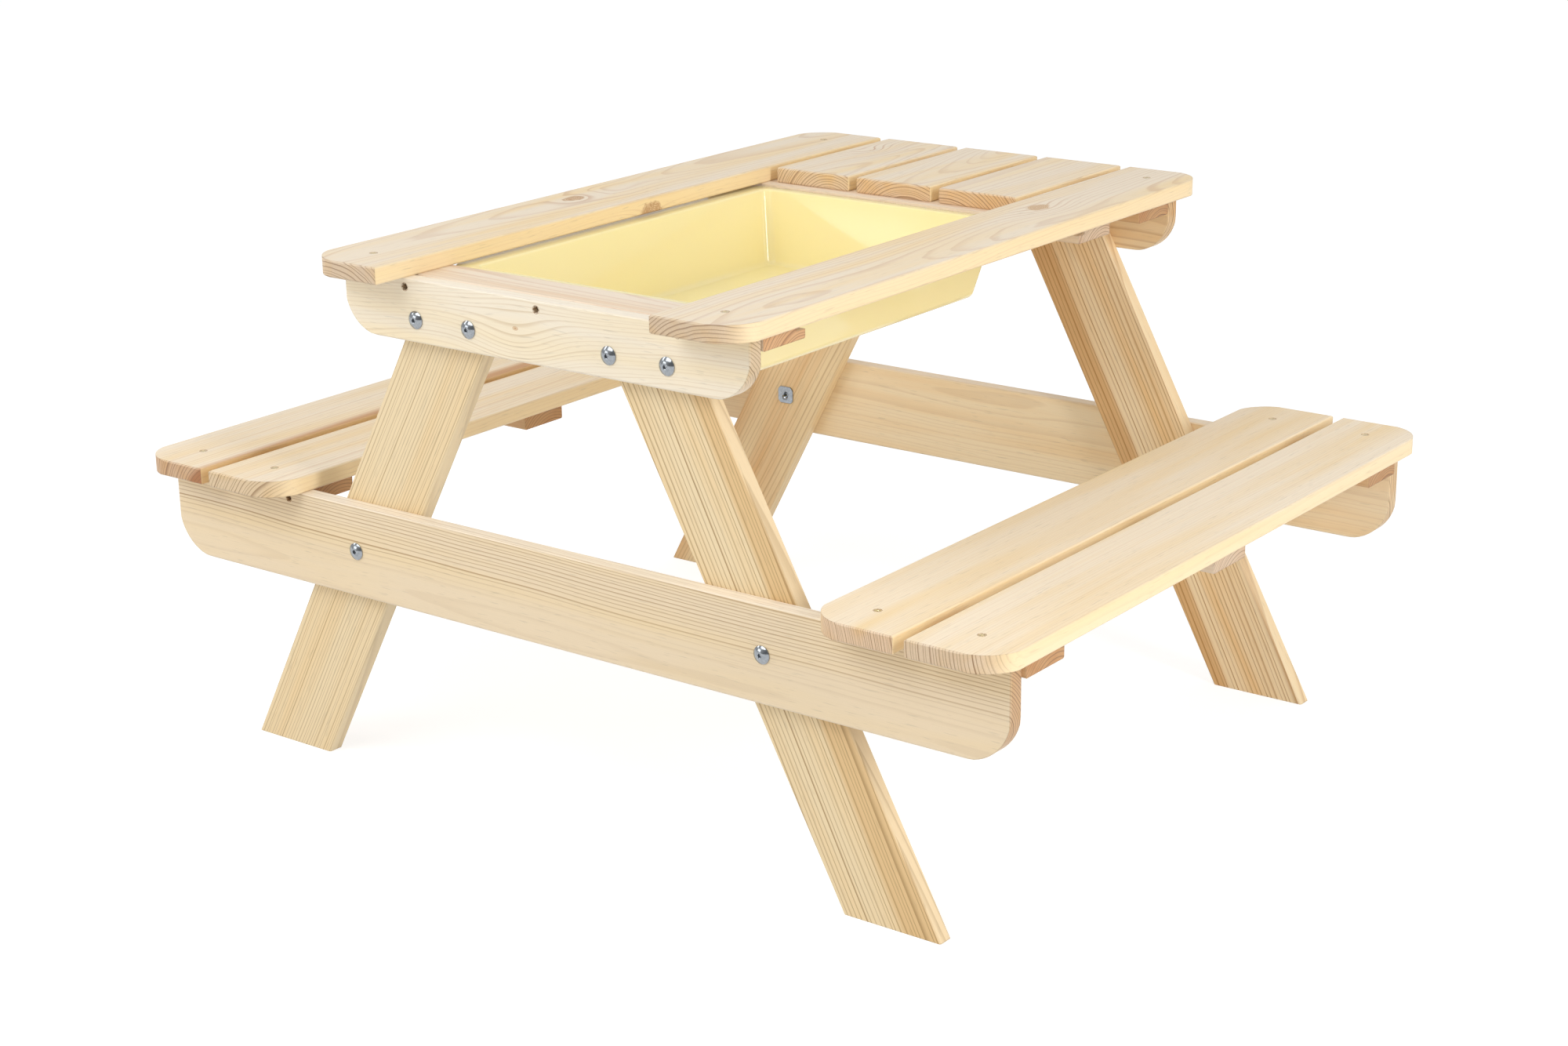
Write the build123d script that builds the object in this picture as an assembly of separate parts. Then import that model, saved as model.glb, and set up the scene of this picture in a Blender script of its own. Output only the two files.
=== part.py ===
from build123d import *
from math import cos, radians, sin, sqrt, tan
import os

# A child's picnic table with two benches and a slide-out sand tray.
# X runs across the table from bench to bench, Y along the planks and Z up.
# The origin is on the floor under the middle of the table. Sizes are in millimetres.

# Boards
board = 16.0                # thickness of every board
plank_width = 90.0          # planks of the top and the benches, and the seat beams
rail_width = 58.0           # aprons and battens
leg_width = 88.0            # across the slanted leg, square to its length
plank_gap = 11.0            # open joint between two planks
eased_edge = 1.2            # bevel that takes the sharpness off a planed board's edges

# Overall sizes
plank_length = 780.0
table_height = 517.0
seat_height = 288.0
bench_reach = 500.0         # from the middle of the table to the outer edge of a bench
end_overhang = 36.0         # planks past the aprons and the seat beams

# Top
top_plank_count = 5
short_plank_length = 203.0  # planks that close the top behind the tray
plank_corner = 40.0         # plan radius of a plank's free corners
apron_inset = 14.0          # aprons and top battens stop this far inside the top's edges
apron_corner = 40.0         # lower corners of an apron
batten_ledge = 24.0         # the middle batten reaches this far in front of the short planks
batten_joint = 2.0          # open joint between an apron and the top batten beside it
rebate_width = 12.0         # cut into the top edges of two battens, to carry the tray
rebate_depth = 8.0

# Benches and frame
beam_inset = 12.0           # seat beams stop this far inside the benches' outer edges
beam_corner = 45.0          # lower corners of a seat beam
bench_batten_inset = 8.5    # bench battens stop this far inside the bench's edges
foot_inset = 88.0           # from a bench's outer edge in to the outer edge of a foot
leg_top_gap = 104.0         # between the inner edges of a pair of legs, under the top

# Sand tray
tray_depth = 74.0           # from the flange's underside to the tray's underside
tray_wall = 2.5
flange_width = 10.0         # at the two ends, over the rebates
flange_mouth = 12.5         # on the two long sides, what shows of the flange beside the long planks
flange_reach = 9.0          # on the two long sides, how far the flange runs under the long planks
flange_edge = 6.0           # height of the flange's turned-down edge, which slides on the rebates
flange_play = 1.5           # from the flange to the rebates' shoulders
flange_corner = 18.0
tray_corner = 12.0          # upright corners, outside, at the flange
tray_draft = 13.0           # degrees on every wall
tray_foot_radius = 9.0      # outside, from wall to bottom
tray_rim_radius = 2.8       # inside, from flange to wall
tray_corner_steps = 10      # flats that round an upright corner
tray_foot_steps = 4         # flats that round the bottom edge
tray_rim_steps = 2          # flats that round the rim

# Dome-head bolts and tee nuts
bolt_diameter = 6.0
bolt_length = 30.0
dome_diameter = 16.5
dome_height = 3.6
dome_rim = 0.8
dome_ring_shares = (0.7, 0.35)  # of the head's radius, out to in, the last round the flat top
bolt_sides = 12             # flats that round a bolt's head
shank_sides = 6             # flats that round shanks, barrels and screws
bolt_socket = 4.0           # across the flats of the hexagon socket
socket_depth = 2.4
bolt_spacing = 64.0         # between the two bolts of one leg on an apron
nut_flange_width = 20.0
nut_flange_height = 19.0
nut_flange_corner = 3.0     # cut off at the corners
nut_flange = 1.5
nut_barrel_diameter = 7.8
nut_barrel_length = 9.0
prong_length = 6.0
prong_width = 3.0
prong_thickness = 1.2
prong_inset = 1.0           # from the flange's edge to a prong

# Wood screws
screw_diameter = 4.0
screw_head_diameter = 6.8
screw_head_height = 2.0
screw_point = 4.0
long_screw = 40.0
short_screw = 26.0
plank_screw_sink = 1.2      # heads below the planks' upper faces
edge_screw_sink = 8.0       # heads below the faces of aprons and seat beams
under_screw_sink = 0.0      # flush with the battens' undersides
apron_screw_inset = 76.0    # from an apron's end to its outer screws
batten_screw_offset = 20.0  # from a plank's middle, clear of the apron's screws
beam_screw_inner_inset = 11.0
beam_screw_outer_inset = 21.5

# Clearances
hole_clearance = 0.3        # all round a bolt or a nut's barrel
screw_clearance = 0.15      # all round a screw
point_clearance = 1.0       # past a screw's point
overrun = 5.0               # how far a cutting shape runs past the surface that it opens

# Heights
top_underside = table_height - board
top_batten_underside = top_underside - board
apron_underside = top_underside - rail_width
seat_underside = seat_height - board
bench_batten_underside = seat_underside - board
beam_underside = seat_underside - plank_width

# Distances from the middle, along the planks
plank_end = plank_length / 2
rail_face = plank_end - end_overhang
rail_back = rail_face - board
leg_back = rail_back - board
rail_middle = rail_face - board / 2
end_batten_middle = rail_back - rail_width / 2
top_end_batten_middle = end_batten_middle - batten_joint
short_plank_front = plank_end - short_plank_length
middle_batten_middle = short_plank_front - batten_ledge + rail_width / 2

# Distances from the middle, across the table
plank_pitch = plank_width + plank_gap
top_half = (top_plank_count * plank_pitch - plank_gap) / 2
tray_bay_half = top_half - plank_width
bench_inner = bench_reach - plank_pitch - plank_width
bench_batten_inner = bench_inner + bench_batten_inset
bench_batten_outer = bench_reach - bench_batten_inset
apron_end = top_half - apron_inset
beam_end = bench_reach - beam_inset

# A leg's outer edge starts at foot_reach on the floor, and its inner edge ends half
# leg_top_gap from the middle under the top: the slope is what fits its width between
foot_reach = bench_reach - foot_inset
leg_rise = top_batten_underside
leg_spread = foot_reach - leg_top_gap / 2
leg_diagonal = sqrt(leg_spread ** 2 + leg_rise ** 2 - leg_width ** 2)
leg_slope = (leg_spread * leg_rise - leg_width * leg_diagonal) / (leg_rise ** 2 - leg_width ** 2)
leg_run = leg_width * sqrt(1 + leg_slope ** 2)
apron_bolt_height = (apron_underside + top_batten_underside) / 2
beam_bolt_height = (beam_underside + seat_underside) / 2

left, right = -1, 1
near, far = -1, 1
side_names = {left: "left", right: "right"}
end_names = {near: "near", far: "far"}


def leg_middle(height):
    """Distance of a leg's centre line from the middle of the table at a height."""
    return foot_reach - leg_run / 2 - leg_slope * height


def block(low, high):
    """A block between two opposite corners."""
    size = Vector(*high) - Vector(*low)
    return Pos(*low) * Box(size.X, size.Y, size.Z, align=(Align.MIN, Align.MIN, Align.MIN))


def eased(solid, axis):
    """Bevel the outlines of a board's two broad faces, which are square to axis."""
    faces = solid.faces().filter_by(axis).sort_by(axis)
    edges = faces[0].edges() + faces[-1].edges()
    return chamfer(edges, min(eased_edge, board / 3))


def rounded_outline(width, height, radius, corners):
    """A rectangle about the origin, rounded at the chosen corners, given as signs."""
    outline = Rectangle(width, height)
    chosen = [v for v in outline.vertices() if ((v.X > 0) * 2 - 1, (v.Y > 0) * 2 - 1) in corners]
    if chosen:
        outline = fillet(chosen, min(radius, min(width, height) - 2 * eased_edge))
    return outline


def plank(inner, outer, front, back, underside, corners=()):
    """A board lying flat, with its length along the table, planed before its corners are cut."""
    planed = eased(block((inner, front, underside), (outer, back, underside + board)), Axis.Z)
    outline = rounded_outline(outer - inner, back - front, plank_corner, corners)
    return planed & Pos((inner + outer) / 2, (front + back) / 2, underside) * extrude(outline, board)


def rail(half_length, height, underside, end, radius):
    """A board on edge across one end of the table, with its two lower corners rounded."""
    planed = eased(Box(2 * half_length, board, height), Axis.Y)
    outline = rounded_outline(2 * half_length, height, radius, ((left, -1), (right, -1)))
    upright = planed & Plane.XZ * extrude(outline, board / 2, both=True)
    return Pos(0, end * rail_middle, underside + height / 2) * upright


def leg(side, end):
    """A slanted board, cut level at the floor and under the top batten."""
    outline = Polygon(
        (leg_middle(0) - leg_run / 2, 0),
        (leg_middle(0) + leg_run / 2, 0),
        (leg_middle(top_batten_underside) + leg_run / 2, top_batten_underside),
        (leg_middle(top_batten_underside) - leg_run / 2, top_batten_underside),
        align=None,
    )
    upright = Plane.XZ * extrude(outline, board / 2, both=True)
    edges = [e for e in upright.edges() if e.bounding_box().size.Z > board]
    upright = chamfer(edges, min(eased_edge, board / 3))
    middle = end * (rail_back + leg_back) / 2
    placed = Pos(0, middle, 0) * upright
    return placed if side == right else mirror(placed, Plane.YZ)


def batten(inner, outer, middle, underside):
    """A narrow board lying flat under the planks, across them."""
    low = (inner, middle - rail_width / 2, underside)
    high = (outer, middle + rail_width / 2, underside + board)
    solid = block(low, high)
    return chamfer(solid.edges().filter_by(Axis.X), min(eased_edge, board / 3))


def rebated(solid, way):
    """Cut a rebate into the top edge of a batten under the top, on the side that faces along way."""
    box = solid.bounding_box()
    edge = box.max.Y if way > 0 else box.min.Y
    front, back = sorted((edge - way * rebate_width, edge + way * overrun))
    low = (-apron_end - overrun, front, top_underside - rebate_depth)
    return solid - block(low, (apron_end + overrun, back, top_underside + overrun))


def skin(rows):
    """A solid with flat faces between rows of corners, and a lid on each end that isn't a point."""
    faces = [Face(Wire.make_polygon(row)) for row in (rows[0], rows[-1]) if len(row) > 1]
    for row, following in zip(rows, rows[1:]):
        for index, corner in enumerate(row):
            after = (index + 1) % len(row)
            ahead = following if len(following) == 1 else [following[after], following[index]]
            faces.append(Face(Wire.make_polygon([corner, row[after], *ahead])))
    return Solid(Shell(faces))


def turned(profile, sides=shank_sides):
    """A small round piece drawn with flat sides, from its radii and heights in order."""
    rows = []
    for radius, height in profile:
        turns = [radians(360) * index / sides for index in range(sides if radius else 1)]
        rows.append([Vector(radius * cos(turn), radius * sin(turn), height) for turn in turns])
    return skin(rows)


def wood_screw(length, sink):
    """A countersunk screw that points down from a surface at height 0."""
    shank = screw_diameter / 2
    return turned([
        (screw_head_diameter / 2, -sink),
        (shank, -sink - screw_head_height),
        (shank, -sink - length + screw_point),
        (0, -sink - length),
    ])


def screw_hole(length, sink):
    """The counterbore, countersink and pilot hole of that screw, in one cutting shape."""
    head = screw_head_diameter / 2 + screw_clearance
    shank = screw_diameter / 2 + screw_clearance
    return turned([
        (head, overrun),
        (head, -sink - screw_clearance),
        (shank, -sink - screw_clearance - screw_head_height),
        (shank, -sink - length - point_clearance),
    ])


def dome_bolt():
    """A bolt that points down from a surface at height 0, with its domed head above it."""
    rim = dome_diameter / 2
    rise = dome_height - dome_rim
    fall = 1 - dome_ring_shares[-1] ** 2
    rings = [(share * rim, dome_rim + rise * (1 - share ** 2) / fall) for share in dome_ring_shares]
    head = turned([(rim, 0), (rim, dome_rim), *rings], bolt_sides)
    socket = RegularPolygon(bolt_socket / 2, 6, major_radius=False)
    head -= Pos(0, 0, dome_height - socket_depth) * extrude(socket, socket_depth)
    shank = RegularPolygon(bolt_diameter / 2 - screw_clearance, shank_sides)
    return head + extrude(shank, -bolt_length)


def prongs(clearance):
    """The four points that a tee nut presses into the wood, larger all round by a clearance."""
    across = nut_flange_width / 2 - prong_inset - prong_thickness / 2
    along = nut_flange_height / 2 - nut_flange_corner - prong_width / 2
    half_x = prong_thickness / 2 + clearance
    half_y = prong_width / 2 + clearance
    base = [Vector(half_x, half_y), Vector(-half_x, half_y), Vector(-half_x, -half_y), Vector(half_x, -half_y)]
    prong = skin([base, [Vector(0, 0, -prong_length - clearance)]])
    return [Pos(sx * across, sy * along) * prong for sx in (left, right) for sy in (left, right)]


def tee_nut():
    """A tee nut on a surface at height 0, with its barrel and prongs below it."""
    flange = Rectangle(nut_flange_width, nut_flange_height)
    flange = chamfer(flange.vertices(), nut_flange_corner)
    barrel = RegularPolygon(nut_barrel_diameter / 2, shank_sides)
    bore = RegularPolygon(bolt_diameter / 2, shank_sides)
    nut = extrude(flange, nut_flange) + extrude(barrel, -nut_barrel_length) + prongs(0)
    return nut - Pos(0, 0, nut_flange) * extrude(bore, -nut_flange - nut_barrel_length)


def tee_nut_hole():
    """The hole and the slots that take a tee nut, cut down from height 0."""
    barrel = RegularPolygon(nut_barrel_diameter / 2 + hole_clearance, shank_sides)
    hole = Pos(0, 0, overrun) * extrude(barrel, -overrun - nut_barrel_length - hole_clearance)
    return hole + prongs(screw_clearance)


def bolt_hole():
    """The hole for a bolt through a rail and a leg, cut down from height 0."""
    outline = RegularPolygon(bolt_diameter / 2 + hole_clearance, shank_sides)
    return Pos(0, 0, overrun) * extrude(outline, -overrun - 2 * board - overrun)


def placed(shape, point, outward):
    """Stand a shape on a surface: its +Z points along outward from the point."""
    turned = {
        (0, 0, 1): Rotation(0, 0, 0),
        (0, 0, -1): Rotation(180, 0, 0),
        (0, -1, 0): Rotation(90, 0, 0),
        (0, 1, 0): Rotation(-90, 0, 0),
    }
    return Pos(*point) * turned[outward] * shape


def top_plank_middle(index):
    """Distance of a top plank's centre line from the middle, counted from the left."""
    return -top_half + plank_width / 2 + index * plank_pitch


# Places of the fasteners: a point on the surface and the way out of it
long_planks = (0, top_plank_count - 1)
short_planks = range(1, top_plank_count - 1)
bench_plank_middles = (bench_inner + plank_width / 2, bench_reach - plank_width / 2)
end_battens = [end * end_batten_middle for end in (near, far)]
top_battens = [near * top_end_batten_middle, middle_batten_middle, far * top_end_batten_middle]

apron_bolt_places = [
    ((side * (leg_middle(apron_bolt_height) + offset), end * rail_face, apron_bolt_height), (0, end, 0))
    for end in (near, far)
    for side in (left, right)
    for offset in (-bolt_spacing / 2, bolt_spacing / 2)
]
beam_bolt_places = [
    ((side * leg_middle(beam_bolt_height), end * rail_face, beam_bolt_height), (0, end, 0))
    for end in (near, far)
    for side in (left, right)
]
top_plank_screw_places = [
    ((top_plank_middle(index), end * rail_middle, table_height), (0, 0, 1))
    for end in (near, far)
    for index in long_planks
]
bench_plank_screw_places = [
    ((side * middle, end * rail_middle, seat_height), (0, 0, 1))
    for end in (near, far)
    for side in (left, right)
    for middle in bench_plank_middles
]
apron_screw_places = [
    ((offset, end * rail_face, top_underside - board / 2), (0, end, 0))
    for end in (near, far)
    for offset in (-apron_end + apron_screw_inset, 0, apron_end - apron_screw_inset)
]
beam_screw_places = [
    ((side * offset, end * rail_face, seat_underside - board / 2), (0, end, 0))
    for end in (near, far)
    for side in (left, right)
    for offset in (bench_batten_inner + beam_screw_inner_inset, bench_batten_outer - beam_screw_outer_inset)
]
top_batten_screw_places = [
    ((top_plank_middle(index) + batten_screw_offset, middle, top_batten_underside), (0, 0, -1))
    for index in range(top_plank_count)
    for middle in top_battens
    if index in long_planks or middle > 0
]
bench_batten_screw_places = [
    ((side * middle, along, bench_batten_underside), (0, 0, -1))
    for side in (left, right)
    for middle in bench_plank_middles
    for along in (*end_battens, 0)
]


def nut_places(bolt_places):
    """Places of the tee nuts on the legs' inner faces, behind the bolts."""
    return [((x, outward[1] * leg_back, z), (0, -outward[1], 0)) for (x, y, z), outward in bolt_places]


def repeated(shape, places):
    """One copy of a shape at each place."""
    return [placed(shape, point, outward) for point, outward in places]


bolt_places = apron_bolt_places + beam_bolt_places
holes = (
    repeated(bolt_hole(), bolt_places)
    + repeated(tee_nut_hole(), nut_places(bolt_places))
    + repeated(screw_hole(long_screw, plank_screw_sink), top_plank_screw_places + bench_plank_screw_places)
    + repeated(screw_hole(long_screw, edge_screw_sink), apron_screw_places + beam_screw_places)
    + repeated(screw_hole(short_screw, under_screw_sink), top_batten_screw_places + bench_batten_screw_places)
)
hole_boxes = [hole.bounding_box() for hole in holes]


def meets(box, other):
    """Whether two bounding boxes share some space."""
    return (
        box.min.X < other.max.X and other.min.X < box.max.X
        and box.min.Y < other.max.Y and other.min.Y < box.max.Y
        and box.min.Z < other.max.Z and other.min.Z < box.max.Z
    )


def drilled(solid):
    """Cut a board with every hole that reaches it."""
    box = solid.bounding_box()
    reaching = [hole for hole, hole_box in zip(holes, hole_boxes) if meets(box, hole_box)]
    return solid - reaching if reaching else solid


def top_planks():
    """Two full-length planks beside the tray and the short ones that close the far end."""
    names = ["left_top_plank", "left_short_plank", "middle_short_plank", "right_short_plank", "right_top_plank"]
    free_corners = {0: ((left, near), (left, far)), top_plank_count - 1: ((right, near), (right, far))}
    planks = {}
    for index, name in enumerate(names):
        middle = top_plank_middle(index)
        front = -plank_end if index in long_planks else short_plank_front
        corners = free_corners.get(index, ())
        planks[name] = plank(
            middle - plank_width / 2, middle + plank_width / 2, front, plank_end, top_underside, corners
        )
    return planks


def bench_planks():
    """Two planks a side, with their outer corners rounded and those at the open joint square."""
    planks = {}
    for side in (left, right):
        for name, middle, free in zip(("inner", "outer"), bench_plank_middles, (-side, side)):
            edges = (side * middle - plank_width / 2, side * middle + plank_width / 2)
            corners = ((free, near), (free, far))
            solid = plank(*edges, -plank_end, plank_end, seat_underside, corners)
            planks[f"{side_names[side]}_bench_{name}_plank"] = solid
    return planks


def rails():
    """An apron under the top and a beam under the benches, at each end."""
    boards = {}
    for end, name in end_names.items():
        boards[f"{name}_apron"] = rail(apron_end, rail_width, apron_underside, end, apron_corner)
        boards[f"{name}_seat_beam"] = rail(beam_end, plank_width, beam_underside, end, beam_corner)
    return boards


def legs():
    """Four splayed legs, bolted inside the aprons and the seat beams."""
    return {
        f"{end_names[end]}_{side_names[side]}_leg": leg(side, end)
        for end in (near, far)
        for side in (left, right)
    }


def battens():
    """The boards that hold the planks of the top and of each bench together."""
    boards = {}
    for name, middle in zip(("near", "middle", "far"), top_battens):
        boards[f"{name}_top_batten"] = batten(-apron_end, apron_end, middle, top_batten_underside)
    boards["near_top_batten"] = rebated(boards["near_top_batten"], far)
    boards["middle_top_batten"] = rebated(boards["middle_top_batten"], near)
    for side in (left, right):
        ends = sorted((side * bench_batten_inner, side * bench_batten_outer))
        for name, middle in (("near", end_battens[0]), ("middle", 0), ("far", end_battens[1])):
            solid = batten(*ends, middle, bench_batten_underside)
            boards[f"{side_names[side]}_bench_{name}_batten"] = solid
    return boards


def rounding(radius, steps):
    """Distances from wall and level face at even steps round an edge, from the wall to the level."""
    draft = radians(tray_draft)
    turns = [draft + (radians(90) - draft) * step / steps for step in range(steps + 1)]
    return [(radius * (cos(draft) - cos(turn)), radius * (1 - sin(turn))) for turn in turns]


def tray_row(width, length, radius, height):
    """The corners of a level rectangle, rounded with a few flats at each of its four corners."""
    points = []
    for quarter, (across, along) in enumerate(((1, 1), (-1, 1), (-1, -1), (1, -1))):
        middle = Vector(across * (width / 2 - radius), along * (length / 2 - radius), height)
        for step in range(tray_corner_steps + 1):
            turn = radians(90) * (quarter + step / tray_corner_steps)
            points.append(middle + Vector(radius * cos(turn), radius * sin(turn)))
    return points


def tub(width, length, corner, depth, foot_radius, rim_radius=0):
    """A drafted tub with its mouth at height 0, a rounded bottom edge and, if asked, a rounded rim."""
    narrowing = tan(radians(tray_draft))
    rows = [(0, corner, 0)]
    if rim_radius:
        rim_start = rim_radius * (1 - sin(radians(tray_draft)))
        rows = [
            (outward - rim_start * narrowing, corner + outward, down)
            for outward, down in reversed(rounding(rim_radius, tray_rim_steps))
        ]
    foot_start = depth - foot_radius * (1 - sin(radians(tray_draft)))
    rows += [
        (-inward - foot_start * narrowing, corner - inward, depth - up)
        for inward, up in rounding(foot_radius, tray_foot_steps)
    ]
    return skin([
        tray_row(width + 2 * outward, length + 2 * outward, radius, -down)
        for outward, radius, down in rows
    ])


def sand_tray():
    """The moulded tray: drafted walls, and a flange that slides in under the long planks."""
    bay_near = top_battens[0] + rail_width / 2 - rebate_width
    bay_far = top_battens[1] - rail_width / 2 + rebate_width
    flange_across = 2 * (tray_bay_half + flange_reach)
    flange_along = bay_far - bay_near - 2 * flange_play
    across = 2 * (tray_bay_half - flange_mouth)
    along = flange_along - 2 * flange_width
    underside = flange_edge - tray_wall
    edge = 2 * tray_wall
    inside = edge * (1 - tan(radians(tray_draft)))
    flange = skin([tray_row(flange_across, flange_along, flange_corner, height) for height in (0, flange_edge)])
    flange -= skin([
        tray_row(flange_across - edge, flange_along - edge, flange_corner - tray_wall, height)
        for height in (-overrun, underside)
    ])
    outside = tub(across, along, tray_corner, tray_depth, tray_foot_radius)
    hollow = tub(
        across - inside,
        along - inside,
        tray_corner - tray_wall,
        tray_depth,
        tray_foot_radius - tray_wall,
        tray_rim_radius,
    )
    tray = flange + Pos(0, 0, underside) * outside - Pos(0, 0, flange_edge) * hollow
    return Pos(0, (bay_near + bay_far) / 2, top_underside - rebate_depth) * tray


def fasteners():
    """Bolts, tee nuts and screws, each kind at all its places."""
    plank_screw = wood_screw(long_screw, plank_screw_sink)
    edge_screw = wood_screw(long_screw, edge_screw_sink)
    under_screw = wood_screw(short_screw, under_screw_sink)
    sets = {
        "apron_bolts": (dome_bolt(), apron_bolt_places),
        "seat_beam_bolts": (dome_bolt(), beam_bolt_places),
        "apron_tee_nuts": (tee_nut(), nut_places(apron_bolt_places)),
        "seat_beam_tee_nuts": (tee_nut(), nut_places(beam_bolt_places)),
        "top_plank_screws": (plank_screw, top_plank_screw_places),
        "bench_plank_screws": (plank_screw, bench_plank_screw_places),
        "apron_screws": (edge_screw, apron_screw_places),
        "seat_beam_screws": (edge_screw, beam_screw_places),
        "top_batten_screws": (under_screw, top_batten_screw_places),
        "bench_batten_screws": (under_screw, bench_batten_screw_places),
    }
    return {name: Compound(children=repeated(shape, places)) for name, (shape, places) in sets.items()}


boards = {**top_planks(), **bench_planks(), **rails(), **legs(), **battens()}
nodes = {name: drilled(solid) for name, solid in boards.items()}
nodes["sand_tray"] = sand_tray()
nodes.update(fasteners())

os.makedirs("parts", exist_ok=True)
for name, shape in nodes.items():
    export_step(shape, f"parts/{name}.step")
    print(name, len(shape.solids()), round(shape.volume))
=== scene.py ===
# %% [markdown]
# # A child's picnic table with a sand tray
#
# The real table is sawn and planed from pine boards, bolted and screwed together, with a
# moulded tray hung in the top. Its boards, fasteners and tray come in as a fixed frame. The
# boards keep that geometry and get a wood that is solid all the way through. The tray and the
# small metal parts are built again here, with finer curves, exactly where the frame has them.

# %% Load the frame
from math import cos, pi, radians, sin, sqrt, tan

import bmesh
import bpy
from mathutils import Matrix, Vector


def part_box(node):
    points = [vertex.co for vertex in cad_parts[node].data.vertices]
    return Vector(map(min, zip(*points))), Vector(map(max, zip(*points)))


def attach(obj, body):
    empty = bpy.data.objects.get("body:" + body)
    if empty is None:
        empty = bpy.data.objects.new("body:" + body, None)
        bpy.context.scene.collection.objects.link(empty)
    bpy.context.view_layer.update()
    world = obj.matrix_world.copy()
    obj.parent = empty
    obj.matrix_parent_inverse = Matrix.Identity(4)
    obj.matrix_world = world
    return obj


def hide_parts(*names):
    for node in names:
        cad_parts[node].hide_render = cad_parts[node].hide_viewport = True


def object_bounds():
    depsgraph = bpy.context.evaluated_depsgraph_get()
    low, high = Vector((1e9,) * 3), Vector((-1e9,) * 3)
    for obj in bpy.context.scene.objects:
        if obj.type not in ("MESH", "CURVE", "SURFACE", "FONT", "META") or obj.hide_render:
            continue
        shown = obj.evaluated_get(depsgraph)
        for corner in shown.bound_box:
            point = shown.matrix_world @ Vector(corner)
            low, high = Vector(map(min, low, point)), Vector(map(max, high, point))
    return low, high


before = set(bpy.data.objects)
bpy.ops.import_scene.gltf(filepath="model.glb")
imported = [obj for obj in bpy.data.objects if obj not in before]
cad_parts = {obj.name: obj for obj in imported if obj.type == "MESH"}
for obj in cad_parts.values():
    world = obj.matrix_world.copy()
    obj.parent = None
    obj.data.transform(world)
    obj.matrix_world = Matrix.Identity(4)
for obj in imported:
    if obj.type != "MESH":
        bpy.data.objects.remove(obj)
cad_box = [list(corner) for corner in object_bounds()]
print("box in metres:", cad_box)

# %% [markdown]
# Blender works in metres and its shaders in linear light. A maker thinks in millimetres and
# picks colours from a screen, so one number and one function turn the first into the second.
# A function starts an empty material, and another adds a node to it: it sets the node's
# properties, fills its inputs with values or with other nodes' outputs, and gives back the
# output that the next node needs.
#
# Two kinds of node come up often. A Mix node for colours takes the share and the two colours
# in its inputs 0, 6 and 7, and gives the mix in its output 2. A Map Range takes a value, the
# range that it comes from and the range that it goes to, which is 0 to 1 if nothing is said.

# %% Units, colours and nodes
MM = 0.001
MIX_COLOURS = {"data_type": "RGBA", "output": 2}
SMOOTH = {"interpolation_type": "SMOOTHSTEP"}


def linear(hex_colour):
    """An sRGB hex colour as the linear values that the shaders work in."""
    channels = [int(hex_colour[start:start + 2], 16) / 255 for start in (1, 3, 5)]
    return (*[c / 12.92 if c <= 0.04045 else ((c + 0.055) / 1.055) ** 2.4 for c in channels], 1.0)


def new_material(name):
    """A material with no nodes in it yet, and its node tree."""
    material = bpy.data.materials.new(name)
    material.use_nodes = True
    material.node_tree.nodes.clear()
    return material, material.node_tree


def add_node(tree, kind, inputs=(), output=0, **settings):
    """Add a node, set it up, fill its inputs and return one output, or the node for None."""
    node = tree.nodes.new(kind)
    for name, value in settings.items():
        setattr(node, name, value)
    for socket, value in inputs.items() if isinstance(inputs, dict) else enumerate(inputs):
        if isinstance(value, bpy.types.NodeSocket):
            tree.links.new(value, node.inputs[socket])
        else:
            node.inputs[socket].default_value = value
    return node if output is None else node.outputs[output]


print("middle grey in linear light:", round(linear("#808080")[0], 3))

# %% [markdown]
# The camera stands off the near right corner of the table, half a metre above its top, and
# looks down on it through a long lens. Its place is written as a point that it looks at, a
# direction and a distance, all worked out by matching the table's corners to the picture.

# %% Camera
IMAGE_WIDTH_PX = 2000
SENSOR_MM = 36.0
FOCAL_PX = 3502.0
CAMERA_AZIMUTH = 37.095
CAMERA_ELEVATION = 17.978
CAMERA_ROLL = -0.76
CAMERA_DISTANCE = 2659.8 * MM
CAMERA_TARGET = Vector((37.5, -52.3, 225.8)) * MM
CAMERA_SEES_TO = 50.0       # metres, past the edge of the floor


def add_camera():
    """Create the camera and make it the scene's own."""
    azimuth = radians(CAMERA_AZIMUTH)
    elevation = radians(CAMERA_ELEVATION)
    level = cos(elevation)
    backward = Vector((sin(azimuth) * level, -cos(azimuth) * level, sin(elevation)))
    right = Vector((0, 0, 1)).cross(backward).normalized()
    up = backward.cross(right)
    turned = Matrix((right, up, backward)).transposed().to_4x4()
    turned @= Matrix.Rotation(radians(CAMERA_ROLL), 4, "Z")
    data = bpy.data.cameras.new("camera")
    data.sensor_width = SENSOR_MM
    data.lens = FOCAL_PX / IMAGE_WIDTH_PX * SENSOR_MM
    data.clip_end = CAMERA_SEES_TO
    camera = bpy.data.objects.new("camera", data)
    camera.matrix_world = Matrix.Translation(CAMERA_TARGET + backward * CAMERA_DISTANCE) @ turned
    bpy.context.scene.collection.objects.link(camera)
    bpy.context.scene.camera = camera
    return camera


camera = add_camera()
print("lens in mm:", round(camera.data.lens, 2))

# %% [markdown]
# The light is that of a small product studio: a white room that is darker on the side where
# the photographer stands, and four soft boxes. The large one hangs above the near end. A low
# one in front lights the upright faces and the far wall of the tray. Two narrow ones stand at
# the sides, and a glossy surface shows them as streaks. The darker side gives the bolts
# something to reflect. Together they light a white surface to about white, so the colours
# written below come out about as they are written.

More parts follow.
